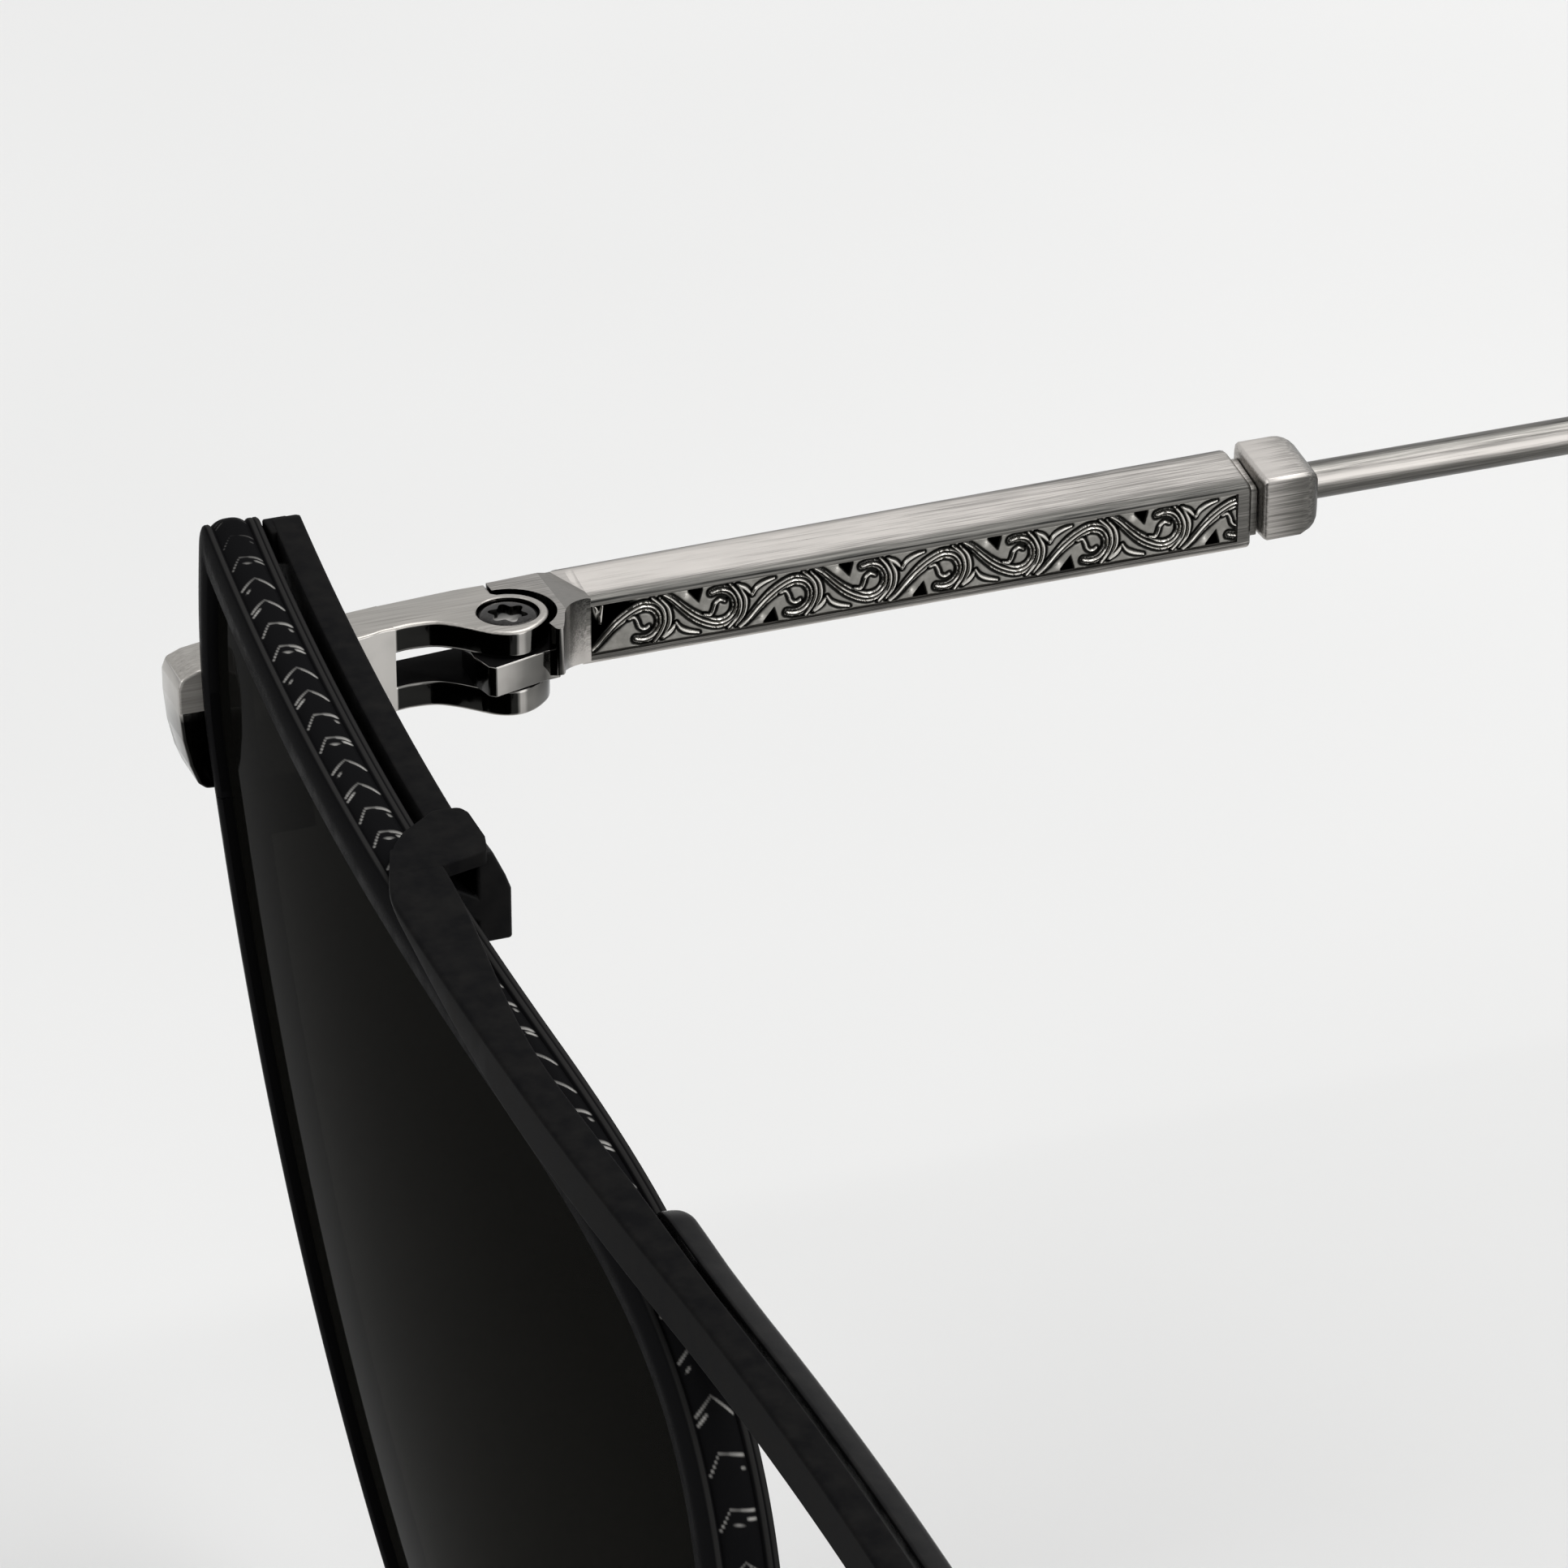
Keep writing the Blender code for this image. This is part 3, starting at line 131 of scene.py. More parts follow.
def rounded(points: Ring, radii: float | Sequence[float], steps: int = 4) -> np.ndarray:
    """Round the corners of a closed flat outline.

    Args:
        points: The outline's corners.
        radii: One radius for all corners, or one for each.
        steps: Pieces of each rounding.

    Returns:
        The rounded outline, with steps + 1 points for each corner.
    """
    base = np.array(points, float)
    count = len(base)
    sizes = np.broadcast_to(np.array(radii, float), (count,))
    out = []
    for index in range(count):
        here, before, after = base[index], base[index - 1], base[(index + 1) % count]
        back, ahead = before - here, after - here
        reach = min(np.linalg.norm(back), np.linalg.norm(ahead)) * 0.48
        back, ahead = back / np.linalg.norm(back), ahead / np.linalg.norm(ahead)
        half = math.acos(max(-1.0, min(1.0, float(back @ ahead)))) / 2
        cut = min(sizes[index] / max(math.tan(half), 1e-3), reach)
        start, end = here + cut * back, here + cut * ahead
        for t in np.linspace(0.0, 1.0, steps + 1):
            out.append((1 - t) ** 2 * start + 2 * t * (1 - t) * here + t * t * end)
    return np.array(out)


def loft(rings: Sequence[Ring], closed: bool = True, capped: bool = True) -> Mesh:
    """Lay a grid over a row of rings and close its ends.

    Args:
        rings: Rings of equally many points.
        closed: Whether each ring returns to its start.
        capped: Whether the open ends are filled.

    Returns:
        The new mesh.
    """
    table = np.array(rings, float)
    if closed:
        table = np.concatenate((table, table[:, :1]), axis=1)
    rows, columns = table.shape[0] - 1, table.shape[1] - 1
    bm = bmesh.new()
    bmesh.ops.create_grid(bm, x_segments=columns, y_segments=rows, size=0.5)
    for vert in bm.verts:
        vert.co = table[round((vert.co.y + 0.5) * rows), round((vert.co.x + 0.5) * columns)]
    bmesh.ops.remove_doubles(bm, verts=bm.verts[:], dist=MERGE)
    if capped:
        edges = [edge for edge in bm.edges if edge.is_boundary]
        bmesh.ops.holes_fill(bm, edges=edges, sides=0)
    bmesh.ops.recalc_face_normals(bm, faces=bm.faces[:])
    return bm


def prism(outline: Ring, near: float, far: float, axis: str = "z") -> Mesh:
    """Extrude a flat outline.

    Args:
        outline: The outline's points in the two other directions.
        near: Where the solid starts along the axis.
        far: Where it ends.
        axis: The direction of the extrusion: x, y or z.

    Returns:
        The new mesh.
    """
    def lift(point: Sequence[float]) -> tuple[float, float, float]:
        """Return a point of the outline at the near level."""
        first, second = point
        return {"x": (near, first, second), "y": (first, near, second), "z": (first, second, near)}[axis]

    bm = bmesh.new()
    face = bm.faces.new([bm.verts.new(lift(point)) for point in outline])
    grown = bmesh.ops.extrude_face_region(bm, geom=[face])
    verts = [item for item in grown["geom"] if isinstance(item, bmesh.types.BMVert)]
    step = {"x": (far - near, 0, 0), "y": (0, far - near, 0), "z": (0, 0, far - near)}[axis]
    bmesh.ops.translate(bm, vec=step, verts=verts)
    bmesh.ops.recalc_face_normals(bm, faces=bm.faces[:])
    return bm


def box(low: Sequence[float], high: Sequence[float]) -> Mesh:
    """Return a box between two corners."""
    plan = ((low[0], low[1]), (high[0], low[1]), (high[0], high[1]), (low[0], high[1]))
    return prism(plan, low[2], high[2])


def turned(profile: Ring, steps: int = 48, axis: str = "z") -> Mesh:
    """Spin a profile about an axis through the origin.

    Args:
        profile: Pairs of radius and height, the first and last on the axis.
        steps: Pieces of the full turn.
        axis: The axis of the turn: z or y.

    Returns:
        The new mesh.
    """
    bm = bmesh.new()
    verts = [bm.verts.new((radius, 0.0, height)) for radius, height in profile]
    edges = [bm.edges.new(pair) for pair in zip(verts, verts[1:])]
    bmesh.ops.spin(bm, geom=verts + edges, cent=(0, 0, 0), axis=(0, 0, 1), angle=2 * math.pi,
                   steps=steps, use_merge=True, use_duplicate=False)
    bmesh.ops.remove_doubles(bm, verts=bm.verts[:], dist=MERGE)
    bmesh.ops.recalc_face_normals(bm, faces=bm.faces[:])
    if axis == "y":
        bmesh.ops.rotate(bm, cent=(0, 0, 0), matrix=Matrix.Rotation(-math.pi / 2, 3, "X"), verts=bm.verts[:])
    return bm


def round_bar(radius: float, low: float, high: float, count: int, axis: str = "z") -> Mesh:
    """Return a plain round bar about an axis, from a low to a high place on it."""
    return turned(((0.0, low), (radius, low), (radius, high), (0.0, high)), count, axis)


def ease(bm: Mesh, width: float, angle: float = 40.0, segments: int = 3,
         where: Optional[Callable[[bmesh.types.BMEdge], bool]] = None) -> Mesh:
    """Bevel the sharp edges of a mesh.

    Args:
        bm: The mesh.
        width: Width of the bevel.
        angle: Edges that turn more than this many degrees are bevelled.
        segments: Pieces of the rounding.
        where: A further test that an edge has to pass.

    Returns:
        The same mesh.
    """
    limit = math.radians(angle)
    edges = [edge for edge in bm.edges if edge.is_manifold and edge.calc_face_angle(0.0) > limit
             and (where is None or where(edge))]
    bmesh.ops.bevel(bm, geom=edges, offset=width, offset_type="OFFSET", segments=segments, profile=0.5,
                    affect="EDGES", material=-1, clamp_overlap=True)
    return bm


def combine(base: Mesh, tool: Mesh, how: Union) -> Mesh:
    """Join or cut one solid with another.

    Args:
        base: The solid to work on.
        tool: The other solid.
        how: Whether it is joined or cut away.

    Returns:
        The result as a new mesh.
    """
    objects = []
    for name, bm in (("base", base), ("tool", tool)):
        mesh = bpy.data.meshes.new(name)
        bm.to_mesh(mesh)
        bm.free()
        obj = bpy.data.objects.new(name, mesh)
        bpy.context.scene.collection.objects.link(obj)
        objects.append(obj)
    modifier = objects[0].modifiers.new("Work", "BOOLEAN")
    modifier.operation = how.value
    modifier.solver = "EXACT"
    modifier.object = objects[1]
    graph = bpy.context.evaluated_depsgraph_get()
    result = bmesh.new()
    result.from_object(objects[0], graph)
    for obj in objects:
        bpy.data.objects.remove(obj, do_unlink=True)
    return result


class Recipe:
    """Wires the nodes of one procedural material."""

    def __init__(self, name: str, colour: Sequence[float], metallic: float, roughness: float) -> None:
        """Start a material with its constant values set on the shader."""
        self.material = bpy.data.materials.new(name)
        self.material.use_nodes = True
        self.tree = self.material.node_tree
        self.shader = self.tree.nodes["Principled BSDF"]
        self.shader.inputs["Base Color"].default_value = (*colour, 1.0)
        self.shader.inputs["Metallic"].default_value = metallic
        self.shader.inputs["Roughness"].default_value = roughness
        self.material.diffuse_color = (*colour, 1.0)
        self.place = self.tree.nodes.new("ShaderNodeTexCoord").outputs["Object"]

    def noise(self, scale: float | Sequence[float], detail: float = 4.0, rough: float = 0.55
              ) -> bpy.types.NodeSocket:
        """Add a noise stretched by its scale in each direction.

        Args:
            scale: Cells per metre, one number or one each along x, y and z.
            detail: Octaves of the noise.
            rough: How strong the fine octaves are.

        Returns:
            The noise's value socket.
        """
        mapping = self.tree.nodes.new("ShaderNodeMapping")
        mapping.inputs["Scale"].default_value = (scale,) * 3 if isinstance(scale, float) else scale
        self.tree.links.new(self.place, mapping.inputs["Vector"])
        texture = self.tree.nodes.new("ShaderNodeTexNoise")
        texture.inputs["Scale"].default_value = 1.0
        texture.inputs["Detail"].default_value = detail
        texture.inputs["Roughness"].default_value = rough
        self.tree.links.new(mapping.outputs["Vector"], texture.inputs["Vector"])
        return texture.outputs["Fac"]

    def range(self, value: bpy.types.NodeSocket, low: float, high: float, start: float = 0.3,
              end: float = 0.7) -> bpy.types.NodeSocket:
        """Map a value between two levels.

        Args:
            value: The socket to map.
            low: Result at the start.
            high: Result at the end.
            start: Input level of the low result.
            end: Input level of the high result.

        Returns:
            The mapped socket.
        """
        node = self.tree.nodes.new("ShaderNodeMapRange")
        node.inputs["From Min"].default_value = start
        node.inputs["From Max"].default_value = end
        node.inputs["To Min"].default_value = low
        node.inputs["To Max"].default_value = high
        self.tree.links.new(value, node.inputs["Value"])
        return node.outputs["Result"]

    def blend(self, value: bpy.types.NodeSocket, first: Sequence[float], second: Sequence[float],
              start: float = 0.3, end: float = 0.7) -> bpy.types.NodeSocket:
        """Run between two colours.

        Args:
            value: The socket that chooses.
            first: Colour at the start.
            second: Colour at the end.
            start: Level of the first colour.
            end: Level of the second colour.

        Returns:
            The colour socket.
        """
        return self.ramp(value, ((start, first), (end, second)))

    def ramp(self, value: bpy.types.NodeSocket, stops: Sequence[tuple[float, Sequence[float]]]
             ) -> bpy.types.NodeSocket:
        """Run through several colours.

        Args:
            value: The socket that chooses.
            stops: Levels with their colours, at least two.

        Returns:
            The colour socket.
        """
        node = self.tree.nodes.new("ShaderNodeValToRGB")
        elements = node.color_ramp.elements
        elements[0].position, elements[0].color = stops[0][0], (*stops[0][1], 1.0)
        elements[1].position, elements[1].color = stops[-1][0], (*stops[-1][1], 1.0)
        for level, colour in stops[1:-1]:
            elements.new(level).color = (*colour, 1.0)
        self.tree.links.new(value, node.inputs["Fac"])
        return node.outputs["Color"]

    def attribute(self, name: str) -> bpy.types.NodeSocket:
        """Return the value of a mesh attribute."""
        node = self.tree.nodes.new("ShaderNodeAttribute")
        node.attribute_name = name
        return node.outputs["Fac"]

    def math(self, how: str, first: bpy.types.NodeSocket, second: bpy.types.NodeSocket | float
             ) -> bpy.types.NodeSocket:
        """Combine two values.

        Args:
            how: The operation.
            first: The first value.
            second: The second value, a socket or a number.

        Returns:
            The result's socket.
        """
        node = self.tree.nodes.new("ShaderNodeMath")
        node.operation = how
        self.tree.links.new(first, node.inputs[0])
        if isinstance(second, float):
            node.inputs[1].default_value = second
        else:
            self.tree.links.new(second, node.inputs[1])
        return node.outputs["Value"]

    def colour(self, socket: bpy.types.NodeSocket) -> None:
        """Drive the base colour."""
        self.tree.links.new(socket, self.shader.inputs["Base Color"])

    def roughness(self, socket: bpy.types.NodeSocket) -> None:
        """Drive the roughness."""
        self.tree.links.new(socket, self.shader.inputs["Roughness"])

    def bump(self, height: bpy.types.NodeSocket, depth: float, strength: float = 0.5) -> None:
        """Drive the surface's fine relief.

        Args:
            height: The height's socket.
            depth: Depth of the relief in metres.
            strength: Share of it that shows.
        """
        node = self.tree.nodes.new("ShaderNodeBump")
        node.inputs["Strength"].default_value = strength
        node.inputs["Distance"].default_value = depth
        self.tree.links.new(height, node.inputs["Height"])
        self.tree.links.new(node.outputs["Normal"], self.shader.inputs["Normal"])

    def fix(self, name: str, value: float) -> None:
        """Set one constant value on the shader."""
        self.shader.inputs[name].default_value = value


@dataclass(frozen=True)
class BrushedMetal:
    """Silver-coloured metal with lengthwise brush lines; with painted shading on, its colour follows the painted light
    levels in the relief attribute, from painted deep shade to painted highlight.
    """

    name: str = "brushed_silver_metal"
    light: tuple[float, float, float] = (0.43, 0.41, 0.385)
    dark: tuple[float, float, float] = (0.26, 0.25, 0.23)
    # deep is the darkest painted shade, used only with painted shading.
    deep: tuple[float, float, float] = (0.020, 0.020, 0.019)
    shaded: bool = False
    metal: float = 1.0
    rough_low: float = 0.26
    rough_high: float = 0.44
    across: float = 16000.0
    along: float = 260.0
    depth: float = 0.000006

    def make(self) -> bpy.types.Material:
        """Return the finished material."""
        recipe = Recipe(self.name, self.light, self.metal, self.rough_low)
        lines = recipe.noise((self.across, self.along, self.across), 5.0, 0.6)
        cloud = recipe.noise((900.0, 300.0, 900.0), 3.0)
        # Painted shading: the relief attribute holds painted light levels, which pick the colour from painted deep
        # shade to painted highlight.
        if self.shaded:
            level = recipe.math("ADD", recipe.attribute("relief"), recipe.range(lines, -0.22, 0.22))
            recipe.colour(recipe.ramp(level, ((0.04, self.deep), (0.50, self.dark), (0.95, self.light))))
        else:
            recipe.colour(recipe.blend(lines, self.dark, self.light, 0.25, 0.7))
        mixed = recipe.math("ADD", recipe.math("MULTIPLY", lines, 0.7), recipe.math("MULTIPLY", cloud, 0.3))
        recipe.roughness(recipe.range(mixed, self.rough_low, self.rough_high))
        recipe.bump(lines, self.depth, 0.35)
        return recipe.material


@dataclass(frozen=True)
class PolishedMetal:
    """Silver-coloured metal polished bright, with faint wiping marks; its colour runs from dark to light along the
    relief attribute, which holds painted reflections, painted highlights and painted shade.
    """

    name: str = "polished_silver_metal"
    light: tuple[float, float, float] = (0.54, 0.52, 0.495)
    middle: tuple[float, float, float] = (0.19, 0.185, 0.175)
    dark: tuple[float, float, float] = (0.018, 0.018, 0.017)
    rough_low: float = 0.07
    rough_high: float = 0.16

    def make(self) -> bpy.types.Material:
        """Return the finished material."""
        recipe = Recipe(self.name, self.light, 1.0, self.rough_low)
        wiping = recipe.noise((1800.0, 5200.0, 1800.0), 4.0, 0.6)
        cloud = recipe.noise(700.0, 2.0)
        # The relief attribute holds painted light: painted reflections, highlights and shade set per point from its
        # facing.
        level = recipe.math("ADD", recipe.attribute("relief"), recipe.range(cloud, -0.07, 0.07))
        recipe.colour(recipe.ramp(level, ((0.10, self.dark), (0.50, self.middle), (0.90, self.light))))
        recipe.roughness(recipe.range(wiping, self.rough_low, self.rough_high))
        recipe.bump(cloud, 0.00002, 0.10)
        return recipe.material


@dataclass(frozen=True)
class AntiquedMetal:
    """Cut silver whose grooves have gone dark while its ridges shine."""

    name: str = "antiqued_silver_metal"
    ridge: tuple[float, float, float] = (0.66, 0.64, 0.60)
    ground: tuple[float, float, float] = (0.25, 0.243, 0.225)
    groove: tuple[float, float, float] = (0.010, 0.010, 0.009)

    def make(self) -> bpy.types.Material:
        """Return the finished material."""
        recipe = Recipe(self.name, self.ground, 1.0, 0.25)
        relief = recipe.attribute("relief")
        stain = recipe.noise(2600.0, 5.0, 0.6)
        level = recipe.math("ADD", relief, recipe.math("MULTIPLY", recipe.range(stain, -1.0, 1.0), 0.06))
        recipe.colour(recipe.ramp(level, ((0.16, self.groove), (0.45, self.ground), (0.90, self.ridge))))
        recipe.roughness(recipe.range(level, 0.42, 0.17, 0.1, 0.8))
        recipe.bump(recipe.noise((14000.0, 1800.0, 14000.0), 4.0), 0.000006, 0.3)
        return recipe.material


@dataclass(frozen=True)
class BlackCoat:
    """Black plated metal with a fine grain and a faint random mottle; with relief on, its colour instead runs towards
    the lighter colour along the relief attribute, which carries painted highlights.
    """

    name: str
    base: tuple[float, float, float] = (0.0070, 0.0070, 0.0075)
    worn: tuple[float, float, float] = (0.014, 0.0135, 0.013)
    rough_low: float = 0.30
    rough_high: float = 0.42
    bend: float = 1.035
    grain: float = 0.000004
    relief: bool = False

    def make(self) -> bpy.types.Material:
        """Return the finished material."""
        recipe = Recipe(self.name, self.base, 0.0, self.rough_low)
        recipe.fix("IOR", self.bend)
        cloud = recipe.noise(1400.0, 4.0)
        grain = recipe.noise(24000.0, 3.0, 0.6)
        if self.relief:
            # With relief on, the lighter colour is laid on as painted glints along the relief attribute.
            recipe.colour(recipe.blend(recipe.attribute("relief"), self.base, self.worn, 0.05, 1.0))
        else:
            recipe.colour(recipe.blend(cloud, self.base, self.worn, 0.35, 0.85))
        recipe.roughness(recipe.range(cloud, self.rough_low, self.rough_high))
        recipe.bump(grain, self.grain, 0.4)
        return recipe.material


@dataclass(frozen=True)
class SmokedGlass:
    """Very dark olive-grey sun lens, a little lighter towards its lower edge."""

    name: str = "smoked_lens_glass"
    upper: tuple[float, float, float] = (0.009, 0.0088, 0.0078)
    lower: tuple[float, float, float] = (0.020, 0.0195, 0.017)
    low_z: float = 0.004
    high_z: float = 0.040

    def make(self) -> bpy.types.Material:
        """Return the finished material."""
        recipe = Recipe(self.name, self.upper, 0.0, 0.03)
        recipe.fix("IOR", 1.008)
        recipe.fix("Transmission Weight", 0.6)
        split = recipe.tree.nodes.new("ShaderNodeSeparateXYZ")
        recipe.tree.links.new(recipe.place, split.inputs["Vector"])
        height = recipe.range(split.outputs["Z"], 0.0, 1.0, self.low_z, self.high_z)
        cloud = recipe.math("MULTIPLY", recipe.noise(90.0, 2.0), 0.12)
        recipe.colour(recipe.blend(recipe.math("ADD", height, cloud), self.lower, self.upper, 0.0, 1.0))
        recipe.roughness(recipe.range(recipe.noise((2400.0, 2400.0, 900.0), 4.0), 0.02, 0.05))
        return recipe.material


@dataclass(frozen=True)
class DarkSteel:
    """Dark polished steel of the screws, with turning marks."""

    name: str = "dark_screw_steel"
    light: tuple[float, float, float] = (0.040, 0.038, 0.036)
    dark: tuple[float, float, float] = (0.014, 0.013, 0.013)

    def make(self) -> bpy.types.Material:
        """Return the finished material."""
        recipe = Recipe(self.name, self.light, 1.0, 0.16)
        marks = recipe.noise(9000.0, 4.0, 0.6)
        recipe.colour(recipe.blend(marks, self.dark, self.light))
        recipe.roughness(recipe.range(marks, 0.12, 0.26))
        recipe.bump(marks, 0.000008, 0.25)
        return recipe.material


@dataclass(frozen=True)
class ClearSilicone:
    """Soft clear pad material with a faint cloud inside."""

    name: str = "clear_pad_silicone"
    tint: tuple[float, float, float] = (0.86, 0.87, 0.85)
    cloud: tuple[float, float, float] = (0.74, 0.745, 0.72)

    def make(self) -> bpy.types.Material:
        """Return the finished material."""
        recipe = Recipe(self.name, self.tint, 0.0, 0.18)
        recipe.fix("Transmission Weight", 0.72)
        recipe.fix("IOR", 1.41)
        cloud = recipe.noise(700.0, 4.0)
        recipe.colour(recipe.blend(cloud, self.cloud, self.tint))
        recipe.roughness(recipe.range(cloud, 0.14, 0.30))
        recipe.bump(recipe.noise(5000.0, 3.0), 0.00001, 0.2)
        return recipe.material


@dataclass(frozen=True)
class DarkAcetate:
    """Near-black polished acetate with a faint brown mottling."""

    name: str = "dark_tip_acetate"
    black: tuple[float, float, float] = (0.009, 0.008, 0.0075)
    brown: tuple[float, float, float] = (0.038, 0.023, 0.015)

    def make(self) -> bpy.types.Material:
        """Return the finished material."""
        recipe = Recipe(self.name, self.black, 0.0, 0.16)
        recipe.fix("IOR", 1.25)
        mottle = recipe.noise((420.0, 160.0, 420.0), 5.0, 0.6)
        recipe.colour(recipe.blend(mottle, self.black, self.brown, 0.50, 0.78))
        recipe.roughness(recipe.range(recipe.noise(2200.0, 4.0), 0.12, 0.24))
        recipe.bump(mottle, 0.00003, 0.08)
        return recipe.material


class Palette:
    """Makes each finish once."""

    def __init__(self) -> None:
        """Make all materials of the object."""
        self.silver = BrushedMetal().make()
        # Silver with painted shading: its colour follows the painted light levels in the relief attribute.
        self.shaded = BrushedMetal("painted_shading_silver_metal", light=(0.50, 0.475, 0.45), dark=(0.150, 0.145, 0.135),
                                   shaded=True).make()
        # A darker silver copy laid on the temple's hinge slope as painted shade.
        self.shadow = BrushedMetal("painted_shade_silver_metal", light=(0.22, 0.21, 0.195),
                                   dark=(0.13, 0.125, 0.115)).make()
        # Polished silver whose colour carries painted reflections and highlights from the relief attribute.
        self.bright = PolishedMetal().make()
        self.matte = BrushedMetal("satin_silver_metal", metal=0.25).make()
        # A near-black coat laid on faces inside the hinge slots as painted shade.
        self.dim = BlackCoat("painted_slot_shade_silver", bend=1.03).make()
        self.antique = AntiquedMetal().make()
        self.satin = BlackCoat("satin_black_coat").make()
        self.gloss = BlackCoat("gloss_black_coat", rough_low=0.14, rough_high=0.26, bend=1.12,
                               grain=0.000003).make()
        # Black rim coat whose lighter colour is painted glints along the engraving, laid on through the relief
        # attribute.
        self.rim = BlackCoat("engraved_black_coat", worn=(0.44, 0.43, 0.41), rough_low=0.20, rough_high=0.32,
                             bend=1.012, grain=0.000003, relief=True).make()
        self.lens = SmokedGlass().make()
        self.steel = DarkSteel().make()
        self.pad = ClearSilicone().make()
        self.tip = DarkAcetate().make()


def painted_wall_reflection(place: Vector, normal: Vector) -> float:
    """Return the painted reflection on a polished wall, from the way it faces in its hinge frame and where it stands.

    Args:
        place: The point on the wall.
        normal: The wall's direction.

    Returns:
        A level from 0, dark, to 1, bright.
    """
    # Painted highlights along the bevelled upper and lower edges, faded out on faces that look straight down.
    edge = smoothstep(0.18, 0.55, abs(normal.z)) * (0.50 if normal.z > 0 else 0.90)
    edge *= 1 - 0.75 * smoothstep(0.75, 0.97, -normal.z)
    # Painted reflections on the side walls, by the way they face.
    side = 0.44 * smoothstep(-0.06, 0.08, normal.y) * (1 - 0.75 * smoothstep(0.35, 0.85, normal.y))
    side += 0.45 * math.exp(-((normal.y - 0.10) / 0.10) ** 2)
    # By place along y: walls ahead of the slot get a painted bright reflection, walls near the slot a painted dark
    # one.
    if place.y < -0.00415:
        side = 0.92
    elif place.y < -0.0012:
        side = 0.03
    return max(edge, side)


@dataclass
class Bench:
    """Places drawn meshes in the object and finishes them as pieces.

    Attributes:
        hinge: The right hinge's point in the object.
        palette: The finishes.
        made: How many pieces are finished so far.
    """

    hinge: Vector
    palette: Palette
    made: int = 0

    def place(self, bm: Mesh, side: Optional[Side]) -> None:
        """Move a mesh from its hinge frame into the object.

        Args:
            bm: The mesh, changed in place.
            side: The side whose hinge frame it is drawn in, or none where x is already the object's X.
        """
        for vert in bm.verts:
            x, y, z = vert.co
            if side:
                x = side.value * (-self.hinge.x - x)
            vert.co = (x, y + self.hinge.y, z + self.hinge.z)
        if side is Side.LEFT:
            bmesh.ops.reverse_faces(bm, faces=bm.faces[:])

    def finish(self, name: str, bm: Mesh, side: Optional[Side], body: str, slot: str,
               finishes: Sequence[bpy.types.Material], nodes: Sequence[str] = (), sharp: float = 35.0,
               flat: bool = True, dress: Optional[Callable[[bmesh.types.BMFace], int]] = None,
               shine: Optional[Callable[[Vector, Vector], float]] = None) -> bpy.types.Object:
        """Make one piece of the object.

        Args:
            name: The piece's name, without its side.
            bm: Its mesh in the hinge frame.
            side: Its side, or none.
            body: The body it rides on.
            slot: The record's material slot; not used.
            finishes: Its materials.
            nodes: CAD nodes that it stands for, without their side.
            sharp: Edges that turn more than this many degrees stay sharp.
            flat: Whether the broad faces are to shade flat beside their bevels.
            dress: Gives the number of a face's material.
            shine: Gives the painted light level that is stored in the relief attribute for a point: painted
                reflections, highlights and shade, from its place and its direction.

        Returns:
            The piece.
        """
        ending = "_" + side.label if side else ""
        name, nodes = name + ending, [node + ending for node in nodes]
        bm.normal_update()
        if dress:
            for face in bm.faces:
                face.material_index = dress(face)
        # The relief attribute holds painted light, which the materials turn into colour.
        if shine:
            layer = bm.verts.layers.float.new("relief")
            for vert in bm.verts:
                vert[layer] = shine(vert.co, vert.normal)
        self.place(bm, side)
        mesh = bpy.data.meshes.new(name)
        bm.to_mesh(mesh)
        bm.free()
        mesh.shade_smooth()
        mesh.set_sharp_from_angle(angle=math.radians(sharp))
        for material in finishes:
            mesh.materials.append(material)
        obj = bpy.data.objects.new(name, mesh)
        bpy.context.scene.collection.objects.link(obj)
        if flat:
            modifier = obj.modifiers.new("Normals", "WEIGHTED_NORMAL")
            modifier.keep_sharp = True
            modifier.weight = 80
        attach(obj, body)
        if nodes:
            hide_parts(*nodes)
        self.made += 1
        LOG.info("%s: %d faces", name, len(mesh.polygons))
        return obj


@dataclass(frozen=True)
class Knot:
    """One knot of the rim's outline.

    Attributes:
        place: Its share of the rim's width, and of its height from the top.
        slope: The outline's direction there.
        before: Length of the handle before it, as a share of the width.
        after: Length of the handle after it.
    """

    place: tuple[float, float]
    slope: tuple[float, float]
    before: float
    after: float


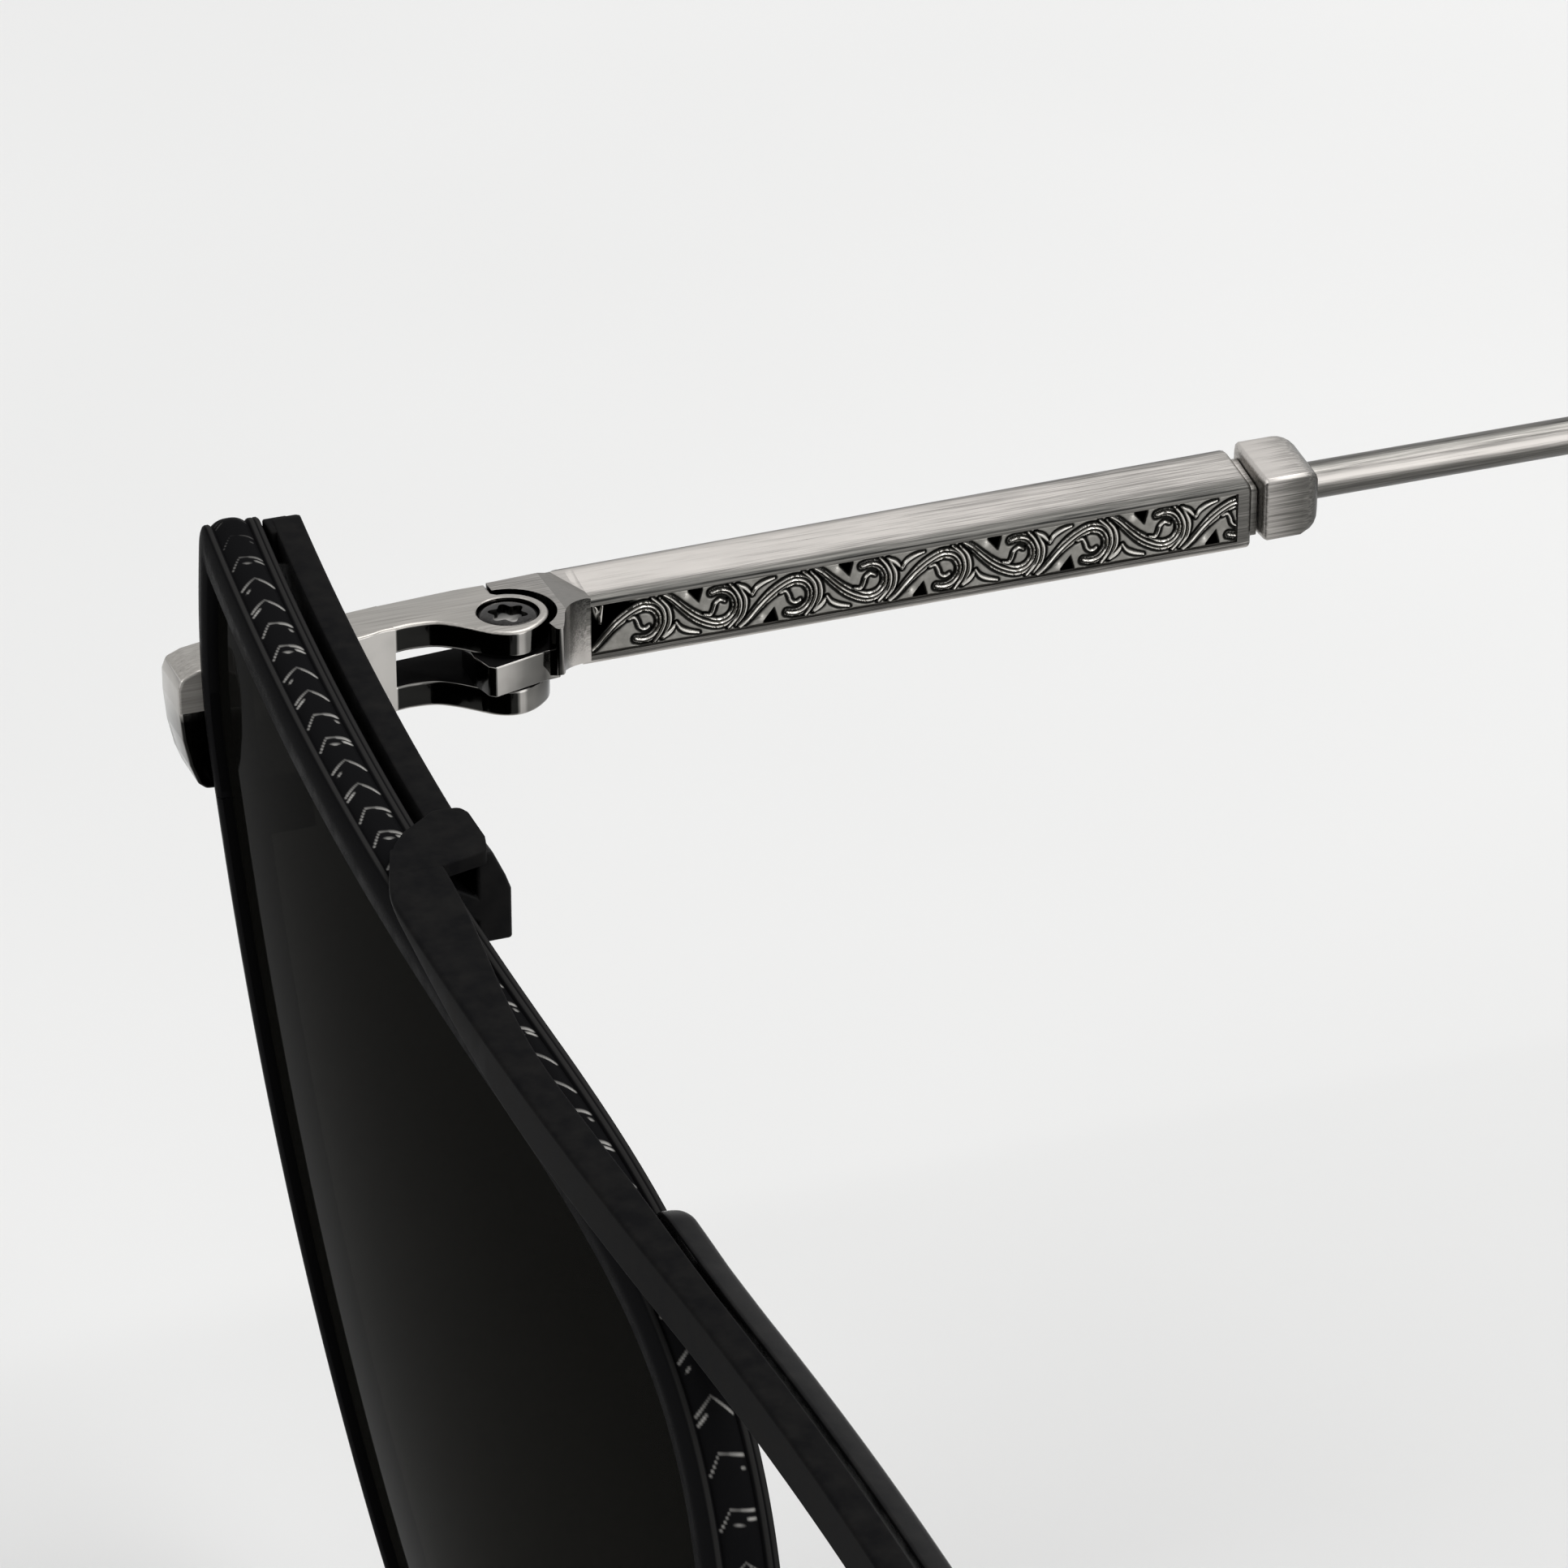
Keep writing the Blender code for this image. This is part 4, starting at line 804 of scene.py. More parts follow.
@dataclass
class Front:
    """The curved surface and outline that rims, lenses and bars share."""

    offset: float = 0.0005
    width: float = 0.0570
    top: float = 0.00665
    height: float = 0.04415
    gap: float = 0.0150
    depth_at_vertex: float = -0.01445
    vertex: tuple[float, float] = (0.0400, 0.0050)
    across: float = 0.295
    upright: float = 0.190
    corner: float = 0.0018
    rim_depth: float = 0.00207
    knots: tuple[Knot, ...] = (
        Knot((0.0197, 0.2469), (-0.37, 0.93), 0.000, 0.022),
        Knot((0.0004, 0.164), (0.0, 1.0), 0.022, 0.030),
        Knot((0.0153, 0.0487), (0.27, 0.963), 0.030, 0.000),
        Knot((0.0790, -0.0063), (1.0, -0.012), 0.000, 0.120),
        Knot((0.4250, -0.0002), (1.0, -0.003), 0.110, 0.090),
        Knot((0.6930, 0.0000), (1.0, -0.006), 0.090, 0.225),
        Knot((1.0000, 0.275), (0.0, -1.0), 0.158, 0.123),
        Knot((0.9120, 0.694), (-0.45, -0.90), 0.123, 0.175),
        Knot((0.5260, 1.0000), (-1.0, 0.0), 0.210, 0.000),
        Knot((0.4730, 1.0000), (-1.0, 0.0), 0.000, 0.225),
        Knot((0.1490, 0.671), (-0.38, 0.925), 0.158, 0.117),
        Knot((0.0214, 0.2492), (-0.37, 0.93), 0.117, 0.000),
    )
    corner_leg: int = 2
    straight_leg: int = 8

    def __post_init__(self) -> None:
        """Trace the outline once, finely."""
        points, normals = [], []
        for leg, (knot, following) in enumerate(zip(self.knots, self.knots[1:])):
            start, end = self.spot(knot), self.spot(following)
            first = np.array(knot.slope) / np.linalg.norm(knot.slope)
            last = np.array(following.slope) / np.linalg.norm(following.slope)
            if leg == self.corner_leg:
                place, slope = self.round_corner(start, first, end, last)
            else:
                reach = 1 / 3 if leg == self.straight_leg else 0.0
                gap = np.linalg.norm(end - start)
                c1 = start + (knot.after * self.width + reach * gap) * first
                c2 = end - (following.before * self.width + reach * gap) * last
                t = np.linspace(0.0, 1.0, 400, endpoint=False)[:, None]
                place = ((1 - t) ** 3 * start + 3 * (1 - t) ** 2 * t * c1 + 3 * (1 - t) * t * t * c2 + t ** 3 * end)
                t = np.maximum(t, 1e-4)
                slope = (1 - t) ** 2 * (c1 - start) + 2 * (1 - t) * t * (c2 - c1) + t * t * (end - c2)
            slope = slope / np.linalg.norm(slope, axis=1)[:, None]
            points.append(place)
            normals.append(np.column_stack((-slope[:, 1], slope[:, 0])))
        self.points = np.vstack(points)
        self.normals = np.vstack(normals)
        steps = np.linalg.norm(np.diff(self.points, axis=0), axis=1)
        self.run = np.concatenate(((0.0,), np.cumsum(steps)))

    @property
    def half_span(self) -> float:
        """Return the distance from the hinge axis to the middle of the face."""
        return self.offset + self.width + self.gap / 2

    @property
    def nasal(self) -> float:
        """Return where the rim's nose side lies."""
        return self.offset + self.width

    def spot(self, knot: Knot) -> np.ndarray:
        """Return a knot's place as x and z."""
        return np.array((self.offset + knot.place[0] * self.width, self.top - knot.place[1] * self.height))

    def round_corner(self, start: np.ndarray, first: np.ndarray, end: np.ndarray, last: np.ndarray
                     ) -> tuple[np.ndarray, np.ndarray]:
        """Round the outer top corner between two straight stretches.

        Args:
            start: Where the rounding's leg starts.
            first: The direction there.
            end: Where it ends.
            last: The direction there.

        Returns:
            The leg's points and directions.
        """
        cross = first[0] * last[1] - first[1] * last[0]
        gap = end - start
        corner = start + (gap[0] * last[1] - gap[1] * last[0]) / cross * first
        turn = math.atan2(cross, float(first @ last))
        tangent = self.corner * math.tan(abs(turn) / 2)
        centre = corner - tangent * first + self.corner * np.array((first[1], -first[0]))
        arm = corner - tangent * first - centre
        angles = np.linspace(0.0, turn, 60)
        turns = [np.array(((math.cos(a), -math.sin(a)), (math.sin(a), math.cos(a)))) for a in angles]
        place = np.array([centre + matrix @ arm for matrix in turns])
        slope = np.array([matrix @ first for matrix in turns])
        return np.vstack((start, place)), np.vstack((first, slope))

    def sample(self, runs: np.ndarray, outward: float | np.ndarray = 0.0) -> np.ndarray:
        """Return outline points at distances along it, moved outwards.

        Args:
            runs: The distances from the slit.
            outward: How far each point is moved outwards.

        Returns:
            The points, as x and z.
        """
        place = np.column_stack([np.interp(runs, self.run, self.points[:, axis]) for axis in (0, 1)])
        normal = np.column_stack([np.interp(runs, self.run, self.normals[:, axis]) for axis in (0, 1)])
        normal /= np.linalg.norm(normal, axis=1)[:, None]
        return place + np.reshape(outward, (-1, 1)) * normal

    def depth(self, x: float | np.ndarray, z: float | np.ndarray) -> float | np.ndarray:
        """Return how far back the surface lies at a place."""
        return (self.depth_at_vertex + (x - self.vertex[0]) ** 2 / (2 * self.across)
                + (z - self.vertex[1]) ** 2 / (2 * self.upright))

    def lift(self, flat: np.ndarray, behind: float | np.ndarray) -> np.ndarray:
        """Lift outline points to a depth behind the surface."""
        return np.column_stack((flat[:, 0], self.depth(flat[:, 0], flat[:, 1]) + behind, flat[:, 1]))

    def brow(self, x: float) -> float:
        """Return the height of the rim's upper edge at a place."""
        upper = self.points[:, 1] > self.top - 0.3 * self.height
        inner = upper & (self.points[:, 0] > self.offset + 0.05 * self.width)
        return float(np.interp(x, self.points[inner, 0], self.points[inner, 1]))

    def limb(self, z: float, outward: float = 0.00017) -> float:
        """Return where the rim's outer limb stands at a height, with a gap outside it."""
        edge = self.points + outward * self.normals
        outer = (edge[:, 0] < 0.5 * self.width) & (edge[:, 1] < self.top - 0.05 * self.height)
        order = np.argsort(edge[outer, 1])
        return float(np.interp(z, edge[outer, 1][order], edge[outer, 0][order]))


@dataclass
class Rim:
    """The rim wire with its engraved band between two fine lips."""

    front: Front
    wall: float = 0.00170
    rise: float = 0.00012
    notch: float = 0.00010
    groove: float = 0.00045
    pitch: float = 0.00166
    cut: float = 0.000055
    fine: float = 0.000045
    coarse: float = 0.00013
    fine_end: float = 0.0700
    band_columns: int = 18
    dots: tuple[tuple[float, float, int, float, float], ...] = (
        (0.00046, 0.7, 1, -0.05, 0.22), (0.00040, 0.8, 0, 0.72, 0.12), (0.00042, 0.8, 2, -0.62, 0.12))

    def section(self) -> tuple[np.ndarray, np.ndarray, np.ndarray]:
        """Return the section: depths, outward places, and the place across the band (nan off it)."""
        before = ((0.03, -0.00012), (0.05, -0.00003), (0.075, 0.0), (0.125, 0.0), (0.15, -0.00004))
        start, end = 0.175, 0.775
        shares = np.linspace(-1.0, 1.0, self.band_columns + 1)
        band_q = (start + end) / 2 + (end - start) / 2 * shares
        band_p = -self.notch + (self.rise + self.notch) * (1 - np.abs(shares) ** 2.6)
        after = ((0.80, -0.00003), (0.825, 0.0), (0.875, 0.0), (0.89, -0.00002), (0.905, -0.00002), (0.92, 0.0),
                 (0.96, 0.0), (0.99, -0.00005), (1.0, -0.00013))
        inner = ((1.0, -self.wall + 0.00008), (0.98, -self.wall), (0.72, -self.wall),
                 (0.49, self.groove - self.wall), (0.26, -self.wall), (0.045, -self.wall),
                 (0.028, -self.wall + 0.00005), (0.003, -0.00090), (0.003, -0.00080))
        q = np.concatenate(([a for a, _ in before], band_q, [a for a, _ in after], [a for a, _ in inner]))
        p = np.concatenate(([b for _, b in before], band_p, [b for _, b in after], [b for _, b in inner]))
        c = np.full(len(q), np.nan)
        c[len(before):len(before) + len(shares)] = shares
        return q * self.front.rim_depth, p, c

    def marks(self, run: np.ndarray, across: float) -> tuple[np.ndarray, np.ndarray]:
        """Return the engraving along one line of the band.

        Args:
            run: Distances along the outline.
            across: The line's place across the band, from -1 at the front to 1 at the rear.

        Returns:
            How deep it is cut and how bright the painted highlight on its edges is, each from 0 to 1.
        """
        cell = np.floor(run / self.pitch)
        t = run - cell * self.pitch
        kind = np.mod(cell, 4)
        c = across
        level = 0.15 + 0.72 * max(-0.35 - c, 0.0) / 0.65 + 0.20 * max(c + 0.35, 0.0) / 1.35
        peak = 0.15 + 0.55 * max(-c, 0.0) + 0.66 * max(c, 0.0)
        main = MM * np.where(kind < 2, level, peak)
        # Both the cut and its painted highlight grow towards the band's edges.
        ends = 0.30 + 0.70 * min(1.0, abs(c) ** 1.3 + 0.25 * (c > 0.2))
        cut = np.zeros(run.shape)
        glint = np.zeros(run.shape)
        rear, near = smoothstep(0.30, 0.55, c), smoothstep(0.30, 0.55, -c)
        lines = [(main, np.ones(run.shape) * ends), (main + 0.00027, (kind == 1) * rear + (kind == 3) * near)]
        for gap, weight, chosen, middle, spread in self.dots:
            lines.append((main + gap, weight * (kind == chosen) * math.exp(-((c - middle) / spread) ** 2)))
        for bend, weight in lines:
            gap = t - bend
            groove = np.where(gap < 0, np.exp(-(gap / 0.00005) ** 2), np.exp(-(gap / 0.00019) ** 2))
            cut = np.maximum(cut, groove * np.minimum(1.0, 1.6 * weight))
            # Painted glints: a narrow painted highlight along each cut's edge.
            glint = np.maximum(glint, np.exp(-((gap + 0.00001) / 0.000056) ** 2) * weight)
        edge = min(1.0, max(0.0, (1 - abs(c)) / 0.14))
        begin = np.clip((run - 0.0125) / 0.005, 0.18, 1.0)
        return cut * edge * begin, glint * edge * begin

    def build(self, bench: Bench, side: Side) -> None:
        """Make one rim."""
        front = self.front
        length = front.run[-1]
        early = np.linspace(0.0, 0.0095, 110, endpoint=False)
        brow = np.arange(0.0095, self.fine_end, self.fine)
        rest = np.linspace(brow[-1] + self.fine, length, int((length - brow[-1]) / self.coarse))
        runs = np.concatenate((early, brow, rest))
        q, p, c = self.section()
        columns = []
        relief = []
        # Off the band the colour is a little lighter where the section stands out than where it is sunk; on the band
        # it carries the engraving's painted glints.
        for depth, outward, across in zip(q, p, c):
            if np.isnan(across):
                cut = np.zeros(len(runs))
                share = np.full(len(runs), 0.05 if outward < 0 else 0.09)
            else:
                cut, share = self.marks(runs, float(across))
            flat = front.sample(runs, outward - self.cut * cut)
            columns.append(front.lift(flat, depth))
            relief.append(share)
        rings = np.stack(columns, axis=1)
        levels = np.stack(relief, axis=1)
        gap = rings[-1] - rings[0]
        rings[0] += 0.4 * gap
        rings[-1] -= 0.4 * gap
        bm = loft(rings)
        # The relief attribute carries the painted glints into the black coat's colour.
        layer = bm.verts.layers.float.new("relief")
        lookup = {tuple(np.float32(point)): value for point, value in
                  zip(rings.reshape(-1, 3), levels.reshape(-1))}
        for vert in bm.verts:
            vert[layer] = lookup.get(tuple(np.float32(vert.co)), 0.05)
        bench.finish("rim_wire", bm, side, "front", "gloss_black", [bench.palette.rim],
                     ["rim"], sharp=60.0, flat=False)


@dataclass
class Lens:
    """A curved dark lens with a bevelled edge in the rim's groove."""

    front: Front
    wall: float = 0.00170
    clearance: float = 0.00005
    bevel: float = 0.00040
    setback: float = 0.00045
    thickness: float = 0.00160
    stations: int = 420

    def build(self, bench: Bench, side: Side) -> None:
        """Make one lens."""
        front = self.front
        runs = np.linspace(0.0, front.run[-1], self.stations, endpoint=False)
        edge = front.sample(runs, -self.wall - self.clearance)
        apex = front.sample(runs, -self.wall - self.clearance + self.bevel)
        centre = edge.mean(axis=0)
        middle = 0.49 * front.rim_depth
        rear = self.setback + self.thickness
        shares = np.linspace(0.0, 1.0, 22)
        rings = [front.lift(centre + share * (edge - centre), self.setback) for share in shares]
        rings.append(front.lift(edge, middle - self.bevel))
        rings.append(front.lift(apex, middle))
        rings.append(front.lift(edge, middle + self.bevel))
        rings += [front.lift(centre + share * (edge - centre), rear) for share in shares[::-1]]
        bm = loft(rings, capped=False)
        bench.finish("sun_lens", bm, side, "front", "smoke_lens", [bench.palette.lens],
                     ["lens"], sharp=28.0, flat=False)


@dataclass
class BrowBar:
    """The satin bar that hooks over the rims in front and runs behind them at the sides."""

    front: Front
    fit: float = 0.00005
    reach: float = 0.0031
    gap: float = 0.00038
    depth: float = 0.00105
    height: float = 0.0015
    saddle_share: float = 0.442
    saddle_length: float = 0.0036
    saddle_corner: float = 0.0020
    saddle_rise: float = 0.00043
    flange: float = 0.00023
    plate: float = 0.00025
    plate_drop: float = 0.00130
    plate_least: float = 0.0003
    rounding: float = 0.00016

    @property
    def saddle(self) -> float:
        """Return where the saddle starts."""
        return self.front.offset + self.saddle_share * self.front.width

    @property
    def top(self) -> float:
        """Return the bar's upper level."""
        return self.front.top + self.saddle_rise

    def levels(self, x: float) -> tuple[float, float, float, float, float]:
        """Return front, rear, underside of the flange, lower edge and inner face at x."""
        front = self.front
        edge = 0.95 * front.nasal
        base = float(front.depth(min(x, edge), front.top))
        if x > edge:
            ease_out = (x - edge) / (front.half_span - edge)
            slope = (edge - front.vertex[0]) / front.across
            base += slope * (front.half_span - edge) * (ease_out - ease_out * ease_out / 2)
        corner = self.saddle + self.saddle_corner
        near = base - self.plate - self.fit + 0.00001
        near += 0.5 * front.rim_depth * (
            1 - smoothstep(corner - 0.33 * self.saddle_length, corner + self.saddle_length, x))
        cover = smoothstep(corner + 0.4 * self.saddle_length, self.saddle + 0.3 * front.width, x)
        rear = base + front.rim_depth * (0.93 - 0.50 * cover - 0.10 * smoothstep(0.85 * front.nasal, front.nasal, x))
        start = corner + 1.1 * self.saddle_length
        begin = start - 0.28 * self.saddle_length
        drop = self.plate_drop * smoothstep(begin, start + 0.23 * front.width, x) ** 0.6
        hook = smoothstep(begin, start, x)
        under = self.top - self.flange
        lower = under + hook * (min(under, self.top - self.plate_least - drop) - under)
        inner = max(base - self.fit, near + 0.4 * self.plate)
        solid = smoothstep(0.88 * front.nasal, 0.92 * front.nasal, x)
        inner += solid * (rear - self.fit - inner)
        return near, rear, under, lower, inner

    def hooked(self) -> Mesh:
        """Return the middle length, from saddle to saddle."""
        first = self.saddle + self.saddle_corner
        span = self.front.half_span - first
        places = first + span * np.linspace(0.0, 1.0, 90)
        rings = []
        for sign, run in ((-1, places), (1, places[-2::-1])):
            for x in run:
                near, rear, under, lower, inner = self.levels(float(x))
                lower = min(lower, under - 0.00002)
                corners = ((near, self.top), (rear, self.top), (rear, under), (inner, under - 0.00001),
                           (inner, lower), (near, lower))
                radii = (self.rounding, self.rounding, 0.00003, 0.00001, 0.00005, 0.00008)
                across = sign * (self.front.half_span - x)
                rings.append([(across, y, z) for y, z in rounded(corners, radii)])
        return loft(rings)

    def side_bar(self) -> Mesh:
        """Return the straight run behind the rim, with its rounded outer end."""
        places = self.reach + (self.saddle + 0.22 * self.saddle_length - self.reach) * np.linspace(0, 1, 60) ** 1.3
        rings = []
        for x in places:
            x = float(x)
            level = self.front.brow(x)
            end = math.sqrt(max(0.0, 1 - (1 - min(1.0, (x - self.reach) / 0.00030)) ** 2))
            near = float(self.front.depth(x, level)) + self.front.rim_depth + self.gap
            shrink = 0.00028 * (1 - end)
            corners = ((near + shrink, level - self.height + shrink), (near + self.depth - shrink,
                       level - self.height + shrink), (near + self.depth - shrink, level - shrink),
                       (near + shrink, level - shrink))
            rings.append([(x, y, z) for y, z in rounded(corners, (0.0001, 0.0001, 0.00013, 0.00009))])
        return loft(rings)

    def saddle_block(self) -> Mesh:
        """Return the saddle that crosses the rim, with its eased upper edge."""
        x, length = self.saddle, self.saddle_length
        rear = float(self.front.depth(x, self.front.top)) + self.front.rim_depth + self.gap + self.depth
        inner = self.levels(x + length)
        plan = ((x, rear - 0.83 * self.depth), (x + 0.02 * length, rear + 0.02 * self.depth),
                (x + 0.14 * length, rear + 0.17 * self.depth), (x + 0.61 * length, rear + 0.14 * self.depth),
                (x + 0.88 * length, rear - 0.10 * self.depth), (x + length, inner[1]),
                (x + length, inner[0] + 0.00002), (x + 0.69 * length, self.levels(x + 0.69 * length)[0]),
                (x + 0.47 * length, rear - 2.6 * self.depth), (x + 0.28 * length, rear - 2.1 * self.depth))
        radii = (0.0003, 0.0004, 0.0004, 0.0002, 0.0005, 0.0001, 0.0001, 0.0008, 0.0008, 0.0006)
        slab = prism(rounded(plan, radii, 6), self.top - self.flange - 0.00025, self.top + 0.000002)
        return ease(slab, 0.00012, 50.0, 4, lambda edge: all(v.co.z > self.top - 0.00005 for v in edge.verts))

    def build(self, bench: Bench) -> None:
        """Make the whole bar."""
        parts = [self.hooked()]
        for side in Side:
            for half in (self.saddle_block(), self.side_bar(), self.foot()):
                for vert in half.verts:
                    vert.co.x = side.value * (self.front.half_span - vert.co.x)
                if side is Side.LEFT:
                    bmesh.ops.reverse_faces(half, faces=half.faces[:])
                parts.append(half)
        whole = parts[0]
        for part in parts[1:]:
            whole = combine(whole, part, Union.JOIN)
        bench.finish("brow_bar", whole, None, "front", "satin_black", [bench.palette.satin], ["top_bar"], sharp=40.0)

    def foot(self) -> Mesh:
        """Return the short foot that ties the bar's outer end to the rim."""
        level = self.front.brow(self.reach)
        behind = float(self.front.depth(self.reach, level)) + self.front.rim_depth + self.fit
        foot = box((self.reach + 0.00003, behind, level - 0.88 * self.height),
                   (self.reach + 0.0012, behind + self.gap + 0.5 * self.depth, level - 0.00005))
        return ease(foot, 0.00008)


@dataclass
class Bridge:
    """The glossy piece behind the bar that joins the two rims."""

    bar: BrowBar
    end_share: float = 0.870
    round_length: float = 0.0012
    height: float = 0.0015
    drop: float = 0.0012
    gap: float = 0.00045
    depth: float = 0.00090

    def build(self, bench: Bench) -> None:
        """Make the bridge."""
        front = self.bar.front
        start = front.offset + self.end_share * front.width
        shares = np.concatenate((np.linspace(0, 0.12, 16, endpoint=False), np.linspace(0.12, 1, 60)))
        places = start + (front.half_span - start) * shares
        rings = []
        for sign, run in ((-1, places), (1, places[-2::-1])):
            for x in run:
                x = float(x)
                near = self.bar.levels(x)[1] + self.gap
                near = max(near, float(front.depth(min(x, front.nasal), front.top)) + 0.45 * front.rim_depth)
                turn = max(0.0, 1 - (x - start) / self.round_length)
                end = 1 - math.sqrt(1 - turn * turn)
                far = near + self.depth * (1 - 0.55 * end)
                seat = front.brow(min(x, 0.98 * front.nasal)) + 0.00017
                low = max(seat, front.top - self.height - self.drop)
                crown = front.top - 0.35 * end * self.height
                corners = ((near, low), (far, low), (far, crown - 0.08 * (crown - low)), (near, crown))
                across = sign * (front.half_span - x)
                rings.append([(across, y, z) for y, z in rounded(corners, (0.00008, 0.00012, 0.0003, 0.00012))])
        bench.finish("nose_bridge", loft(rings), None, "front", "gloss_black", [bench.palette.gloss], ["bridge"],
                     sharp=50.0, flat=False)


@dataclass
class Bracket:
    """The polished leg under the saddle that reaches forward to the rim."""

    bar: BrowBar
    width: float = 0.0019
    gap: float = 0.0012
    depth: float = 0.00117
    drop: float = 0.0033

    def build(self, bench: Bench, side: Side) -> None:
        """Make one bracket."""
        front = self.bar.front
        x = self.bar.saddle + 0.0009
        rear = float(front.depth(x, front.top)) + front.rim_depth
        near = float(front.depth(x + self.width, front.top)) + front.rim_depth + self.gap
        far = near + self.depth
        top = self.bar.top - self.bar.flange - self.bar.fit
        low = top - self.drop
        profile = ((near, top), (near + 0.46 * self.depth, top), (far - 0.15 * self.depth, top - 0.30 * self.drop),
                   (far, top - 0.45 * self.drop), (far, low), (near, low), (near, top - 0.76 * self.drop),
                   (rear + self.bar.fit, top - 0.52 * self.drop), (rear + self.bar.fit, top - 0.28 * self.drop),
                   (near, top - 0.48 * self.drop))
        slab = ease(prism(profile, x, x + self.width, "x"), 0.00012, 20.0)
        bench.finish("saddle_bracket", slab, side, "front", "gloss_black", [bench.palette.gloss], ["bar_bracket"])


@dataclass
class EndPiece:
    """The silver end piece: front block, bar, and the two ears of the hinge."""

    front: Front
    height: float = 0.0034
    ear: float = 0.00105
    pin: float = 0.0006
    head: float = 0.0011
    sunk: float = 0.00008
    head_depth: float = 0.0005
    fit: float = 0.00005
    slot_front: float = -0.0042
    outer: float = -0.0024
    bar_outer: float = -0.0020
    bar_inner: float = 0.0003
    bar_front: float = -0.0108
    edge: float = 0.00015
    boss_radius: float = 0.00147
    boss_swell: float = 0.00025
    lock_outer: float = -0.0017
    lock_high: float = -0.0017
    lock_low: float = -0.00425
    lock_near: float = -0.0102
    lock_far: float = -0.0079
    dot_radius: float = 0.00011
    dot_depth: float = 0.0002
    dot_place: tuple[float, float, float] = (-0.00185, -0.00040, 0.0)
    nose_side: tuple[tuple[float, float], ...] = (
        (1.13, -1.31), (0.69, -1.72), (0.26, -2.18), (-0.13, -2.78), (-0.24, -3.60), (-0.18, -4.20))
    block: tuple[tuple[float, float], ...] = (
        (-12.46, -0.75), (-12.46, -1.60), (-12.35, -2.80), (-12.12, -3.86), (-11.84, -4.62), (-11.55, -4.86),
        (-11.10, -4.90), (-10.30, -4.90), (-10.30, 0.0), (-10.95, 0.0), (-11.75, -0.12), (-12.30, -0.34))

    def boss(self) -> list[tuple[float, float]]:
        """Return the rounded end of an ear in plan, from its outer side to its nose side."""
        points = []
        for angle in np.linspace(176.0, -50.0, 46):
            radius = self.boss_radius + self.boss_swell * (1 - smoothstep(-20.0, 45.0, float(angle)))
            points.append((radius * math.cos(math.radians(angle)), radius * math.sin(math.radians(angle))))
        return points

    def ear_plan(self) -> np.ndarray:
        """Return one ear's plan, from the web to the boss and back."""
        nose = MM * smooth_path(self.nose_side, 8)[1:]
        outer = [(-0.00213, self.slot_front - 0.0003), (-0.00218, self.slot_front), (self.outer, -0.0013),
                 (self.outer, -0.00006), (-0.0016, -0.00005)]
        last = [(-0.00017, self.slot_front - 0.0003)]
        return np.array(outer + self.boss() + [tuple(p) for p in nose] + last)

    def core_plan(self) -> np.ndarray:
        """Return the plan of the solid bar in front of the slot."""
        inner = smooth_path(((-0.00018, self.slot_front), (-0.00014, -0.0047), (0.00009, -0.0056),
                             (0.00026, -0.0075), (self.bar_inner, self.bar_front)), 5)
        outer = [(self.bar_outer, self.bar_front), (self.bar_outer, -0.0056), (-0.00218, self.slot_front)]
        return np.vstack((inner, outer))

    def rim_eased(self, slab: Mesh, low: float, high: float) -> Mesh:
        """Ease a slab's upper and lower edges, but not those that run up and down."""
        def level(edge: bmesh.types.BMEdge) -> bool:
            """Tell whether an edge lies in the top or the bottom."""
            heights = [vert.co.z for vert in edge.verts]
            return max(heights) - min(heights) < 1e-6 and (heights[0] > high - 1e-6 or heights[0] < low + 1e-6)

        return ease(slab, self.edge, 50.0, 4, level)

    def solid(self) -> Mesh:
        """Return the silver solid before its holes are cut."""
        piece = self.rim_eased(prism(self.core_plan(), -self.height, 0.0), -self.height, 0.0)
        for low, high in ((-self.ear, 0.0), (-self.height, self.ear - self.height)):
            piece = combine(piece, self.rim_eased(prism(self.ear_plan(), low, high), low, high), Union.JOIN)
        side = [(MM * y, MM * z) for y, z in self.block]
        lump = ease(prism(rounded(side, 0.0003, 3), -0.0018, self.bar_inner, "x"), 0.00012, 50.0, 4)
        for level in (-0.0017, -0.0021, -0.0031):
            geometry = lump.verts[:] + lump.edges[:] + lump.faces[:]
            bmesh.ops.bisect_plane(lump, geom=geometry, plane_co=(0, 0, level), plane_no=(0, 0, 1))
        piece = combine(piece, lump, Union.JOIN)
        outer, high, low = self.lock_outer, self.lock_high, self.lock_low
        limb = [(self.front.limb(z), z) for z in (low, -0.003, high)]
        lock = prism([(outer, high), (outer, low)] + limb, self.lock_near, self.lock_far, "y")
        return combine(piece, ease(lock, 0.00008, 50.0, 3), Union.JOIN)

    def dress(self, face: bmesh.types.BMFace) -> int:
        """Return 0 for the brushed top, 1 for polished walls with painted reflections, 2 for faces in the slot, which
        get near-black painted shade, 3 for the block's side.
        """
        centre = face.calc_center_median()
        # Faces inside the slot get near-black painted shade.
        if abs(face.normal.z) > 0.8 and -0.00262 < centre.z < -0.00085 and centre.y > -0.0043:
            return 2
        if centre.y < -0.0104 and face.normal.x > 0.6 and centre.z > -0.0019:
            return 3
        return 0 if face.normal.z > 0.5 and centre.z > -0.0004 else 1

    def shine(self, place: Vector, normal: Vector) -> float:
        """Return the painted light level of a point: painted wall reflections, a painted dark reflection low on the
        block's nose side, and painted shade that darkens the front block towards its foot.
        """
        if place.y > -0.0101:
            return painted_wall_reflection(place, normal)
        # Painted dark reflection on the lower part of the block's nose side.
        if normal.x > 0.6:
            return 0.03 + 0.75 * smoothstep(-0.0021, -0.0018, place.z)
        # Painted shade, darker towards the block's foot.
        return 0.06 + 0.74 * smoothstep(-0.0046, -0.0006, place.z)

